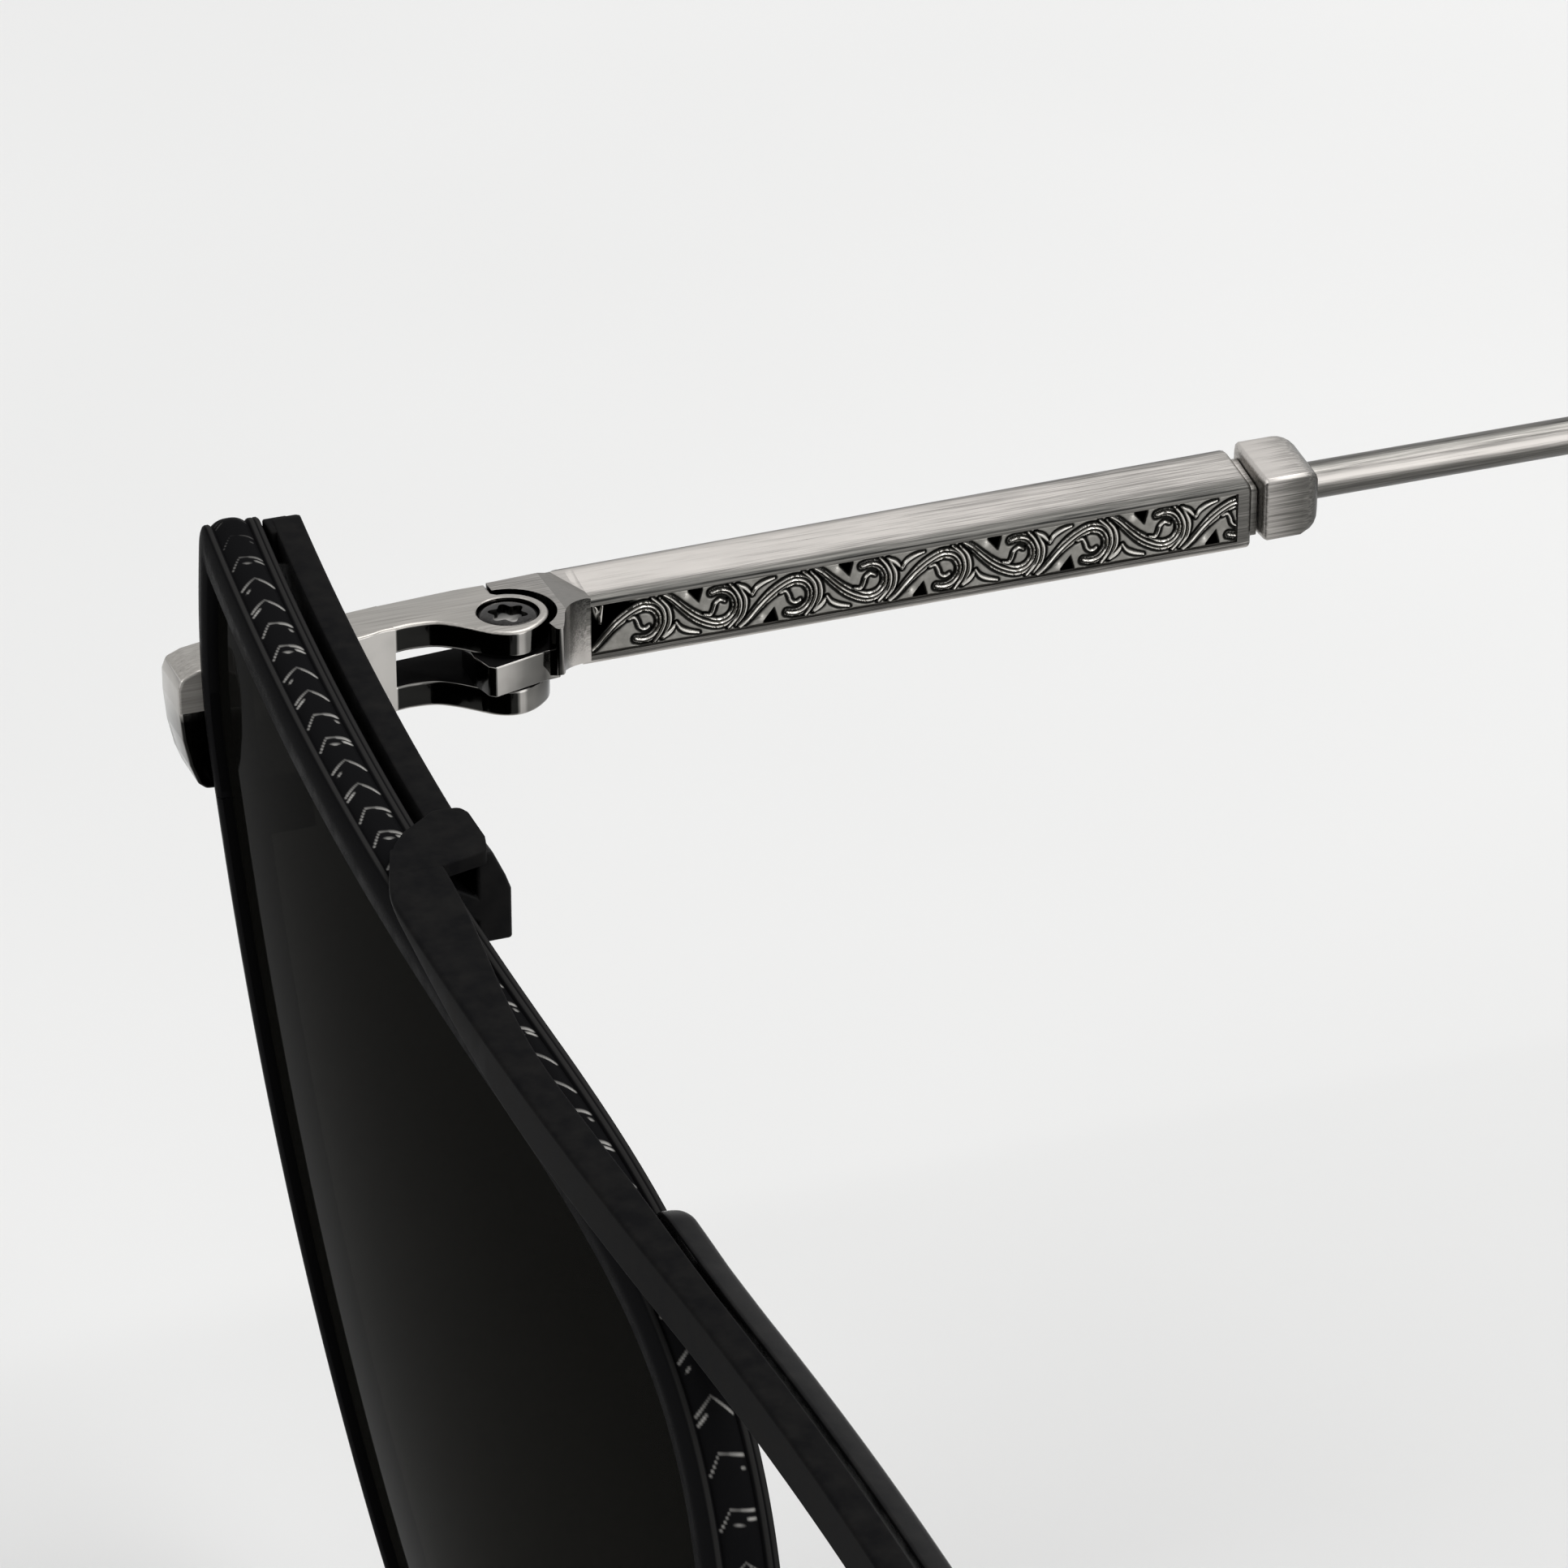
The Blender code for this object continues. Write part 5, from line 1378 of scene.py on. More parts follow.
    def build(self, bench: Bench, side: Side) -> None:
        """Make one end piece."""
        piece = self.solid()
        seat = -self.sunk - self.head_depth - self.fit
        mouth = self.head + self.fit
        bore = ((0.0, -2 * self.height), (self.pin + self.fit, -2 * self.height), (self.pin + self.fit, seat),
                (mouth, seat), (mouth, -0.00004), (mouth + 0.00005, 0.00001), (mouth + 0.00005, 0.0003),
                (0.0, 0.0003))
        piece = combine(piece, turned(bore, 64), Union.CUT)
        dot = round_bar(self.dot_radius, -self.dot_depth, self.dot_depth, 16)
        bmesh.ops.translate(dot, vec=self.dot_place, verts=dot.verts[:])
        piece = combine(piece, dot, Union.CUT)
        # The walls' polished silver carries painted reflections, and the slot faces get the near-black painted shade.
        bench.finish("end_piece_body", piece, side, "front", "brushed_silver",
                     [bench.palette.silver, bench.palette.bright, bench.palette.dim, bench.palette.matte],
                     ["end_piece"], sharp=38.0, flat=False, dress=self.dress, shine=self.shine)


@dataclass
class RimLock:
    """The lower half of the closing block and its screw."""

    front: Front
    outer: float = -0.0017
    near: float = -0.0102
    far: float = -0.0079
    low: float = -0.0061
    high: float = -0.00435
    screw: float = 0.00055
    head: float = 0.0009
    head_depth: float = 0.0004
    screw_end: float = -0.0030

    def build(self, bench: Bench, side: Side) -> None:
        """Make the block and its screw."""
        limb = [(self.front.limb(z), z) for z in np.linspace(self.low, self.high, 3)]
        block = prism([(self.outer, self.high), (self.outer, self.low)] + limb, self.near, self.far, "y")
        x = (self.outer + self.front.limb(-0.0043)) / 2
        y = (self.near + self.far) / 2
        bench.finish("closing_block", ease(block, 0.00012, 50.0, 4), side, "front", "gloss_black",
                     [bench.palette.gloss], ["rim_lock"])
        seat = self.low - 0.00005
        screw = turned(((0.0, seat - self.head_depth), (0.7 * self.head, seat - self.head_depth),
                        (0.92 * self.head, seat - 0.85 * self.head_depth), (self.head, seat - 0.5 * self.head_depth),
                        (self.head, seat), (self.screw, seat), (self.screw, self.screw_end),
                        (0.0, self.screw_end)), 40)
        slot = box((-0.002, -0.00014, seat - 2 * self.head_depth), (0.002, 0.00014, seat - 0.6 * self.head_depth))
        screw = combine(screw, slot, Union.CUT)
        bmesh.ops.translate(screw, vec=(x, y, 0.0), verts=screw.verts[:])
        bench.finish("closing_screw", screw, side, "front", "dark_screw", [bench.palette.steel], ["lock_screw"])


@dataclass
class HingeScrew:
    """The dark hinge screw with its six-lobed key recess."""

    pin: float = 0.0006
    head: float = 0.0011
    depth: float = 0.0005
    top: float = -0.00008
    lobe: float = 0.00074
    waist: float = 0.00052
    recess: float = 0.00018
    foot: float = -0.00335

    def dress(self, face: bmesh.types.BMFace) -> int:
        """Return 1 for the walls and floor of the key recess."""
        centre = face.calc_center_median()
        inside = math.hypot(centre.x, centre.y) < self.lobe and -0.0008 < centre.z < self.top - 0.00002
        return 1 if inside else 0

    def shine(self, place: Vector, normal: Vector) -> float:
        """Return the painted light in the key recess: dark on one side, lit towards the other."""
        towards = 0.93 * place.x - 0.36 * place.y
        return 0.05 + 0.9 * smoothstep(-0.0001, 0.0004, towards)

    def build(self, bench: Bench, side: Side) -> None:
        """Make one hinge screw."""
        low = self.top - self.depth
        screw = turned(((0.0, self.foot), (self.pin, self.foot), (self.pin, low), (self.head, low),
                        (self.head, self.top - 0.00016), (0.97 * self.head, self.top - 0.00008),
                        (0.88 * self.head, self.top - 0.00002), (0.80 * self.head, self.top), (0.0, self.top)), 64)
        angles = np.linspace(0.0, 2 * math.pi, 72, endpoint=False)
        middle, swing = (self.lobe + self.waist) / 2, (self.lobe - self.waist) / 2
        star = [((middle + swing * math.cos(6 * a)) * math.cos(a), (middle + swing * math.cos(6 * a)) * math.sin(a))
                for a in angles]
        key = prism(star, self.top - self.recess, self.top + self.recess)
        screw = combine(screw, key, Union.CUT)
        # The key recess takes polished silver, whose colour carries this painted light.
        bench.finish("hinge_pin_screw", screw, side, "front", "dark_screw",
                     [bench.palette.steel, bench.palette.bright], ["hinge_screw"], sharp=30.0,
                     flat=False, dress=self.dress, shine=self.shine)


@dataclass
class Scroll:
    """The running vine cut in a temple's sunk panel."""

    start: float = 0.0034
    end: float = 0.0291
    height: float = 0.0020
    depth: float = 0.00013
    first: float = 0.00550
    pitch: float = 0.00295
    count: int = 9
    step: float = 0.000028
    scale: float = 1000.0
    squeeze: float = 925.0
    plain: float = 0.46
    ridge_gap: float = 0.150
    half_window: float = 2.5
    stem: tuple[tuple[float, float], ...] = (
        (-2.20, -0.86), (-1.86, -0.62), (-1.44, -0.22), (-1.04, 0.12), (-0.58, 0.40), (-0.10, 0.56),
        (0.34, 0.46), (0.60, 0.14), (0.60, -0.24), (0.36, -0.56), (0.00, -0.68), (-0.34, -0.62))
    hook: tuple[tuple[float, float], ...] = (
        (-0.62, 0.16), (-0.40, 0.20), (-0.28, 0.04), (-0.20, -0.18), (-0.02, -0.30), (0.18, -0.22))
    wings: tuple[tuple[tuple[float, float], ...], ...] = (
        ((0.30, 0.80), (0.70, 0.42), (0.82, -0.05), (0.66, -0.48), (0.36, -0.84)),
        ((0.60, 0.76), (0.92, 0.36), (1.00, -0.10), (0.88, -0.46), (0.66, -0.76)),
        ((0.72, -0.74), (1.00, -0.56), (1.24, -0.28)),
        ((1.24, -0.28), (1.42, -0.52), (1.72, -0.68), (2.10, -0.78)))
    leaf: tuple[tuple[tuple[float, float], ...], ...] = (
        ((-2.00, 0.90), (-1.88, 0.58), (-1.72, 0.20)), ((-1.92, 0.88), (-1.78, 0.60), (-1.70, 0.25)),
        ((-1.62, 0.90), (-1.68, 0.55), (-1.70, 0.20)))

    def near(self, u: np.ndarray, w: np.ndarray, path: np.ndarray) -> tuple[np.ndarray, np.ndarray]:
        """Return the distance to a path and the share of its length there.

        Args:
            u: Places along the panel, in mm.
            w: Heights on the panel, in mm.
            path: The path's points.

        Returns:
            The distances and the shares along the path.
        """
        best = np.full(u.shape, 9.0)
        share = np.zeros(u.shape)
        total = len(path) - 1
        for index, (a, b) in enumerate(zip(path, path[1:])):
            gap = b - a
            t = np.clip(((u - a[0]) * gap[0] + (w - a[1]) * gap[1]) / (gap @ gap), 0.0, 1.0)
            distance = np.hypot(u - a[0] - t * gap[0], w - a[1] - t * gap[1])
            closer = distance < best
            best[closer] = distance[closer]
            share[closer] = ((index + t) / total)[closer]
        return best, share

    def field(self, along: np.ndarray, up: np.ndarray) -> np.ndarray:
        """Return the relief's height, from 0 in the grooves to 1 on the ridges.

        Args:
            along: Places along the temple, in metres.
            up: Heights above the panel's middle line, in metres.

        Returns:
            The heights.
        """
        y, z = self.scale * along, self.squeeze * up
        height = np.full(y.shape, self.plain)
        for index in range(self.count):
            centre = self.scale * (self.first + index * self.pitch)
            sign = 1.0 if index % 2 == 0 else -1.0
            u, w = y - centre, sign * z
            window = np.abs(u) < self.half_window
            uu, ww = u[window], w[window]
            h = height[window]
            if index == 0:
                above = np.clip((ww + 0.95 - 0.75 * (uu + 2.2)) / 0.1, 0.0, 1.0)
                h = h * (1 - above * np.clip((-0.25 - uu) / 0.3, 0.0, 1.0))
            distance, share = self.near(uu, ww, smooth_path(self.stem, 6))
            half = 0.07 + 0.10 * np.minimum(1.0, share / 0.30) - 0.06 * np.maximum(0.0, (share - 0.7) / 0.3)
            ridges = (0.5 + 0.5 * np.cos(2 * math.pi * distance / self.ridge_gap)) ** 1.2
            inside = np.clip((half - distance) / 0.03, 0.0, 1.0)
            moat = np.exp(-(((distance - half - 0.05) / 0.060) ** 2))
            h = np.where(inside > 0, inside * ridges + (1 - inside) * h, h - 0.52 * moat)
            distance, share = self.near(uu, ww, smooth_path(self.hook, 6))
            taper = 0.028 + 0.030 * np.sin(math.pi * np.clip(share, 0.0, 0.9))
            h = np.maximum(h - 0.50 * np.exp(-(((distance - taper - 0.045) / 0.05) ** 2)),
                           np.clip(1.0 - (distance / taper) ** 2, 0.0, 0.9))
            for path in self.wings + (self.leaf if index == 0 else ()):
                distance, share = self.near(uu, ww, smooth_path(path, 6))
                taper = 0.035 + 0.05 * np.sin(math.pi * np.clip(share, 0.05, 0.95))
                h = np.maximum(h - 0.5 * np.exp(-(((distance - taper - 0.03) / 0.045) ** 2)),
                               np.clip(1.05 - (distance / taper) ** 2, 0.0, 0.95))
            reach = np.clip((ww - 0.28) / 0.5, 0.0, 1.0)
            pit = np.clip((0.30 * reach - np.abs(uu - 2.12 + 0.15 * reach)) / 0.06, 0.0, 1.0)
            blob = np.exp(-(((uu - 1.62) / 0.13) ** 2 + ((ww - 0.66) / 0.12) ** 2))
            height[window] = np.where(h > 0.7, h, h - 0.6 * pit + 0.35 * blob)
        edge = 0.5 * self.squeeze * self.height - np.abs(z)
        height = np.where(edge < 0.05, np.minimum(height, 0.25 + 3.0 * edge), height)
        return np.clip(height, 0.0, 1.0)

    def build(self, bench: Bench, side: Side, name: str, face: Callable[[np.ndarray], np.ndarray], out: float,
              middle: float) -> None:
        """Make one panel.

        Args:
            bench: Where pieces are finished.
            side: The temple's side.
            name: The panel's name without its side.
            face: Gives the x of the temple's face at a place along it.
            out: The direction out of that face, 1 to the nose or -1 away from it.
            middle: Height of the panel's middle line.
        """
        rows = int(self.height / self.step)
        columns = int((self.end - self.start) / self.step)
        margin = 0.00001
        y = np.linspace(self.start + margin, self.end - margin, columns + 1)
        z = np.linspace(-self.height / 2 + margin, self.height / 2 - margin, rows + 1)
        along, up = np.meshgrid(y, z)
        relief = self.field(along, up)
        sunk = self.depth * (1 - 0.92 * relief)
        base = np.zeros(relief.shape, bool)
        base[[0, -1], :] = True
        base[:, [0, -1]] = True
        sunk = np.where(base, 1.6 * self.depth, sunk)
        x = face(along) - out * sunk
        rings = np.stack((x, along, up + middle), axis=2)
        bm = loft(rings, closed=False)
        layer = bm.verts.layers.float.new("relief")
        for vert in bm.verts:
            row = round((vert.co.z - middle - z[0]) / (z[1] - z[0]))
            column = round((vert.co.y - y[0]) / (y[1] - y[0]))
            vert[layer] = relief[min(max(row, 0), rows), min(max(column, 0), columns)]
        bench.finish(name, bm, side, "temple_" + side.label, "brushed_silver",
                     [bench.palette.antique], sharp=80.0, flat=False)


@dataclass
class TempleBar:
    """The solid part of a temple: knuckle, wide hinge end, cove and long block."""

    scroll: Scroll = field(default_factory=Scroll)
    height: float = 0.0034
    ear: float = 0.00105
    fit: float = 0.00005
    pin: float = 0.0006
    relief: float = 0.00178
    outer: float = -0.0024
    nose: float = 0.0020
    inner: float = -0.0007
    outer_start: float = -0.0031
    outer_end: float = -0.0035
    top: float = -0.00018
    bottom: float = -0.0031
    slope: float = 0.00045
    panel_middle: float = -0.00179
    fine_lines: tuple[float, ...] = (0.00004, 0.000065, 0.00009, 0.00012, 0.000145, 0.00017)
    end_round: float = 0.00022
    cove_low: float = -0.00187
    inner_low: float = -0.0030
    ramp_start: float = 0.0020
    ramp_end: float = 0.00396
    start: float = 0.0033
    end: float = 0.0297
    knuckle: tuple[tuple[float, float], ...] = (
        (-1.70, 1.75), (-1.73, 0.0), (-1.36, -1.10), (-0.61, -1.58), (0.94, -1.62), (1.86, -1.40), (2.04, -1.18),
        (1.46, 0.86), (1.40, 1.49))
    spigot_end: float = 0.0300
    spigot_inset: float = 0.0003

    def outer_face(self, y: float | np.ndarray) -> float | np.ndarray:
        """Return how far the outer side stands out at a place along it."""
        return self.outer_start + (y - self.start) / (self.end - self.start) * (self.outer_end - self.outer_start)

    def crown(self, outer: float, top: float) -> list[tuple[float, float]]:
        """Return the rounding between the top facet and the outer side."""
        steps = ((0.00040, 0.00001), (0.00024, 0.00002), (0.00010, 0.00008), (0.00002, 0.00018), (0.0, 0.00028))
        return [(outer + aside, top - down) for aside, down in steps]

    def section(self, y: float, inset: float, sunk: float) -> np.ndarray:
        """Return the block's section at a place along it.

        Args:
            y: The place.
            inset: How far the section is drawn in all round.
            sunk: Depth of the panels there.

        Returns:
            The section's points in x and z.
        """
        inner, outer = self.inner - inset, float(self.outer_face(y)) + inset
        low, top = self.bottom + inset, self.top - inset
        middle = self.panel_middle
        corner = low + 0.00006
        edge = top - self.slope
        reach = min(self.scroll.height / 2, middle - corner, edge - 0.00006 - middle)
        lines = [max(middle - reach - d, corner) for d in self.fine_lines]
        fine = 0.000022 if inset == 0 else 0.0

        def face(x: float, sign: float) -> list[tuple[float, float]]:
            """Return a side face from below to above, with its lines and panel."""
            points = [(x, corner)]
            points += [(x - sign * fine * (i % 3 == 1), z) for i, z in reversed(list(enumerate(lines)))]
            points += [(x, middle - reach), (x - sign * sunk, middle - reach), (x - sign * sunk, middle + reach),
                       (x, middle + reach)]
            return points

        nose = face(inner, 1.0)
        nose += [(inner, edge - 0.00006), (inner - 0.00003, edge - 0.00001), (inner - 0.00010, edge + 0.00006)]
        crown = self.crown(outer, top)
        first, last = np.array((inner - 0.00024, edge + 0.00011)), np.array(crown[0])
        facet = [tuple(first + share * (last - first)) for share in (0.0, 0.12, 0.30, 0.70, 0.90, 1.0)]
        away = face(outer, -1.0)[::-1]
        keel = [(outer + 0.00002, low + 0.00002), (outer + 0.00006, low), (inner - 0.00006, low),
                (inner - 0.00002, low + 0.00002)]
        return np.array(nose + facet + crown[1:] + away + keel)

    def block(self) -> Mesh:
        """Return the long block with its sunk panels and rounded rear end."""
        sunk = self.scroll.depth
        a, b = self.scroll.start, self.scroll.end
        stations = [(0.94 * self.start, 0.0, 0.0), (a, 0.0, 0.0), (a + 1e-6, 0.0, sunk)]
        stations += [(float(y), 0.0, sunk) for y in np.linspace(a, b, 28)[1:-1]]
        stations += [(b - 1e-6, 0.0, sunk), (b, 0.0, 0.0), (self.end - self.end_round, 0.0, 0.0)]
        for angle in (25.0, 50.0, 75.0, 90.0):
            turn = math.radians(angle)
            stations.append((self.end - self.end_round * (1 - math.sin(turn)),
                             self.end_round * (1 - math.cos(turn)), 0.0))
        rings = [[(x, y, z) for x, z in self.section(y, inset, deep)] for y, inset, deep in stations]
        return loft(rings)

    def plan(self) -> np.ndarray:
        """Return the plan of the wide hinge end with its cove and relief."""
        arc = [(self.relief * math.cos(math.radians(a)), self.relief * math.sin(math.radians(a)))
               for a in np.linspace(176.0, 37.0, 40)]
        nose = rounded(((1.86, 1.12), (2.00, 1.22), (2.00, 1.42), (1.70, 1.50)), 0.08, 3)[2:-2]
        cove = smooth_path(((1.88, 1.47), (1.56, 1.60), (1.24, 1.73), (0.84, 1.88), (0.44, 2.10), (0.08, 2.36),
                            (-0.24, 2.66), (-0.50, 2.98), (-0.66, 3.22), (-0.70, 3.41)), 4)
        back = [(float(self.outer_face(0.00341)) + 0.00002, 0.00341), (-0.00306, 0.0030), (-0.00262, 0.00235),
                (-0.00252, 0.0020)]
        return np.vstack(([(self.outer, 0.0), (-self.relief, 0.0)], arc, MM * nose, MM * cove, back))

    def hinge_end(self) -> Mesh:
        """Return the wide hinge end with its knuckle."""
        slab = ease(prism(self.plan(), -self.height, 0.0), 0.00009, 50.0, 4,
                    lambda edge: all(vert.co.z > -1e-6 for vert in edge.verts))
        slope = (self.cove_low - self.inner_low) / (self.nose - self.inner)
        far = 2 * self.nose
        level = self.inner_low + slope * (far - self.inner)
        under = prism(((-0.007, self.bottom), (self.inner - 0.00028, self.bottom), (self.inner, self.inner_low),
                       (far, level), (far, -0.0068), (-0.007, -0.0068)), -0.0035, 0.0066, "y")
        piece = combine(slab, under, Union.CUT)
        finish = self.top - self.slope
        near, rear = self.ramp_start, self.ramp_end
        wedge = prism(((near, 0.0), (rear, finish), (rear, self.height), (near, self.height)), -0.007, 0.004, "x")
        outer, wide = self.outer_start, 0.0045
        tilt = (finish + 0.00011 - self.top + 0.00001) / (self.inner - outer - 0.00064)
        crest = self.top - 0.00001
        profile = [(outer, -0.01), (wide, -0.01), (wide, crest + tilt * (wide - outer - 0.0004))]
        facet = prism(profile + self.crown(outer, self.top), 0.0015, wide, "y")
        return combine(piece, combine(wedge, facet, Union.CUT), Union.CUT)

    def knuckle_solid(self) -> Mesh:
        """Return the middle knuckle, flat-sided at the front."""
        plan = [(MM * x, MM * y) for x, y in self.knuckle]
        return ease(prism(plan, self.ear + self.fit - self.height, -self.ear - self.fit), 0.00006, 25.0, 3)

    def dress(self, face: bmesh.types.BMFace) -> int:
        """Return 0 for brushed faces, 1 for polished walls, 2 for the slope, which gets a darker silver as painted
        shade, 3 for faces in the slot, which get near-black painted shade.
        """
        centre, normal = face.calc_center_median(), face.normal
        # Faces inside the slot get near-black painted shade.
        if centre.y < 0.0016 and abs(normal.z) > 0.8 and centre.z < -0.0006:
            return 3
        # The hinge end's slope gets the darker silver as painted shade.
        if normal.z > 0.6 and normal.y > 0.2 and centre.y < 0.0041:
            return 2
        cove = normal.x > 0.1 and abs(normal.z) < 0.5 and centre.y > 0.00145
        return 0 if cove or centre.y > self.start + 0.0003 or (normal.z > 0.55 and centre.z > -0.0009) else 1

    def shine(self, place: Vector, normal: Vector) -> float:
        """Return the painted light level of a point: painted light across the top facet, a painted highlight along the
        block's lower edge, and painted light and reflections on the hinge end, the cove and the knuckle.
        """
        x, y, z = place
        # Top facet: dark at its nose edge, lit across its middle, dark again at the outer edge, and a little darker
        # towards the rear: painted light.
        if z > self.top - self.slope - 0.00012 and normal.z > 0.3 and y > 0.0022 and z < -0.0001:
            share = (self.inner - x) / (self.inner - float(self.outer_face(y)))
            level = 0.92 - 0.22 * smoothstep(0.008, 0.026, y)
            return 0.10 + level * smoothstep(-0.02, 0.32, share) * (1 - 0.80 * smoothstep(0.80, 0.98, share))
        # Block sides at a middle painted level, with a painted highlight along the lower edge.
        if y > self.start + 0.0001:
            return 1.0 if z < self.bottom + 0.00013 else 0.42
        # Upward faces of the hinge end at a fixed painted light level.
        if normal.z > 0.5:
            return 0.66
        # Painted light on the cove, dark at its front and lit towards the panel.
        if y > 0.00145 and normal.x > 0.1:
            return max(0.02, 1.15 * smoothstep(0.0016, 0.0028, y))
        # Painted reflections on the knuckle's walls, by their direction and place.
        if y < 0.0014 and -0.0024 < z < -0.0010:
            face = 0.80 - 0.50 * smoothstep(-0.0013, 0.0008, y)
            return face * smoothstep(-0.10, 0.15, normal.y) + 0.55 * math.exp(-((normal.y + 0.40) / 0.22) ** 2)
        return painted_wall_reflection(place, normal)

    def build(self, bench: Bench, side: Side) -> None:
        """Make one temple bar with its two panels."""
        piece = combine(self.hinge_end(), self.block(), Union.JOIN)
        piece = combine(piece, self.knuckle_solid(), Union.JOIN)
        y = (self.end - 0.0003, self.spigot_end)
        rings = [[(x, place, z) for x, z in self.section(place, self.spigot_inset, 0.0)] for place in y]
        piece = combine(piece, loft(rings), Union.JOIN)
        piece = combine(piece, round_bar(self.pin + self.fit, -0.007, self.height, 48), Union.CUT)
        # Materials: silver with painted shading, polished silver with painted reflections, a darker silver as painted
        # shade on the slope, and near-black painted shade in the slot.
        bench.finish("temple_bar_body", piece, side, "temple_" + side.label, "brushed_silver",
                     [bench.palette.shaded, bench.palette.bright, bench.palette.shadow, bench.palette.dim],
                     ["temple_bar"], sharp=32.0, flat=False, dress=self.dress, shine=self.shine)
        middle = self.panel_middle
        self.scroll.build(bench, side, "scroll_nose_side", lambda y: np.full(np.shape(y), self.inner), 1.0, middle)
        self.scroll.build(bench, side, "scroll_outer_side", self.outer_face, -1.0, middle)


@dataclass
class TempleRear:
    """The sleeve, the round wire and the dark ear tip."""

    cap_start: float = 0.03005
    cap_end: float = 0.03245
    cap_top: float = 0.00006
    cap_bottom: float = -0.00284
    cap_inner: float = -0.0004
    cap_outer: float = -0.00345
    slope: float = 0.00045
    wire_x: float = -0.00205
    wire_z: float = -0.00147
    wire: float = 0.000715
    bend_start: float = 0.0900
    bend_radius: float = 0.0280
    bend_angle: float = math.radians(55.0)
    tip_start: float = 0.0780
    tip_thick: float = 0.0013
    tip_tall: float = 0.0026
    tip_fill: float = 0.972
    socket_radius: float = 0.00078
    cap_round: float = 0.00085
    floor: float = -0.03762

    def path(self, distance: float) -> tuple[np.ndarray, np.ndarray]:
        """Return the wire's centre and direction at a distance along it."""
        if distance <= self.bend_start:
            return np.array((self.wire_x, distance, self.wire_z)), np.array((0.0, 1.0, 0.0))
        angle = min((distance - self.bend_start) / self.bend_radius, self.bend_angle)
        y = self.bend_start + self.bend_radius * math.sin(angle)
        z = self.wire_z - self.bend_radius * (1 - math.cos(angle))
        direction = np.array((0.0, math.cos(angle), -math.sin(angle)))
        rest = distance - self.bend_start - self.bend_radius * angle
        return np.array((self.wire_x, y, z)) + rest * direction, direction

    def ring(self, distance: float, half_x: float, half_up: float, count: int = 40) -> np.ndarray:
        """Return an oval square to the path."""
        centre, direction = self.path(distance)
        upward = np.array((0.0, -direction[2], direction[1]))
        angles = np.linspace(0.0, 2 * math.pi, count, endpoint=False)[:, None]
        return centre + half_x * np.cos(angles) * np.array((1.0, 0.0, 0.0)) + half_up * np.sin(angles) * upward

    def cap(self) -> Mesh:
        """Return the sleeve with eased front edges and a round rear."""
        rings = []
        stations = [(self.cap_start + 0.00018 * (1 - math.cos(a)), 0.00030 * (1 - math.sin(a)), 0.00018)
                    for a in np.radians((0, 30, 60, 90))]
        stations += [(self.cap_end - self.cap_round, 0.0, 0.0002)]
        stations += [(self.cap_end - self.cap_round * (1 - math.sin(a)), 0.00060 * (1 - math.cos(a)), 0.0004)
                     for a in np.radians((15, 30, 45, 60, 75, 90))]
        for y, inset, rounding in stations:
            inner, outer = self.cap_inner - inset, self.cap_outer + inset
            low, top = self.cap_bottom + inset, self.cap_top - inset
            corners = ((inner, low), (inner, top - self.slope), (inner - 0.00013, top - self.slope + 0.0001),
                       (outer, top), (outer, low))
            radii = (rounding, 0.00008, 0.00008, 0.0003, rounding)
            rings.append([(x, y, z) for x, z in rounded(corners, radii, 5)])
        return loft(rings)

    def streak(self, place: Vector, normal: Vector) -> float:
        """Return the wire's painted highlight: a painted light band along its upper side, between painted darker
        edges.
        """
        return 0.34 + 0.66 * math.exp(-((normal.z - 0.42) / 0.36) ** 2)

    def glow(self, place: Vector, normal: Vector) -> float:
        """Return the sleeve's painted light: lighter on its upper faces, a painted highlight along its front edge, and
        painted shade on its rear faces.
        """
        level = 0.42 + 0.36 * max(normal.z, 0.0) - 0.30 * smoothstep(0.15, 0.9, normal.y)
        return level + 0.35 * (place.y < self.cap_start + 0.0002)

    def length(self) -> float:
        """Return the distance at which the tip reaches the rims' level."""
        drop = self.wire_z - self.bend_radius * (1 - math.cos(self.bend_angle)) - self.floor
        return self.bend_start + self.bend_radius * self.bend_angle + drop / math.sin(self.bend_angle)

    def tip(self) -> Mesh:
        """Return the ear tip, which swells along the bend and ends flat."""
        end = self.length()
        mouth = self.wire + 0.0003
        rings = []
        for share in np.concatenate((np.linspace(0, 0.12, 14, endpoint=False), np.linspace(0.12, 1.0, 60))):
            distance = self.tip_start + share * (end - self.tip_start)
            swell = smoothstep(0.0, 0.10, float(share))
            half_x = mouth + swell * (self.tip_thick - mouth)
            half_up = max(half_x, self.tip_fill * self.tip_tall * smoothstep(0.0, 0.85, float(share)))
            lip = 0.00028 * (1 - math.sqrt(max(0.0, 1 - (1 - min(1.0, share / 0.006)) ** 2)))
            ring = self.ring(distance, half_x - lip, half_up - lip)
            if ring[:, 2].min() > self.floor + 0.0001:
                rings.append(ring)
        direction = self.path(end)[1]
        last = self.ring(end, self.tip_thick, self.tip_fill * self.tip_tall)
        rings.append(last + direction * ((self.floor - last[:, 2]) / direction[2])[:, None])
        return loft(rings)

    def build(self, bench: Bench, side: Side) -> None:
        """Make one sleeve, wire and tip."""
        body = "temple_" + side.label
        wide = self.socket_radius
        socket = loft([self.ring(y, wide, wide) for y in (self.cap_end - 0.0016, self.cap_end + 0.0016)])
        cap = combine(self.cap(), socket, Union.CUT)
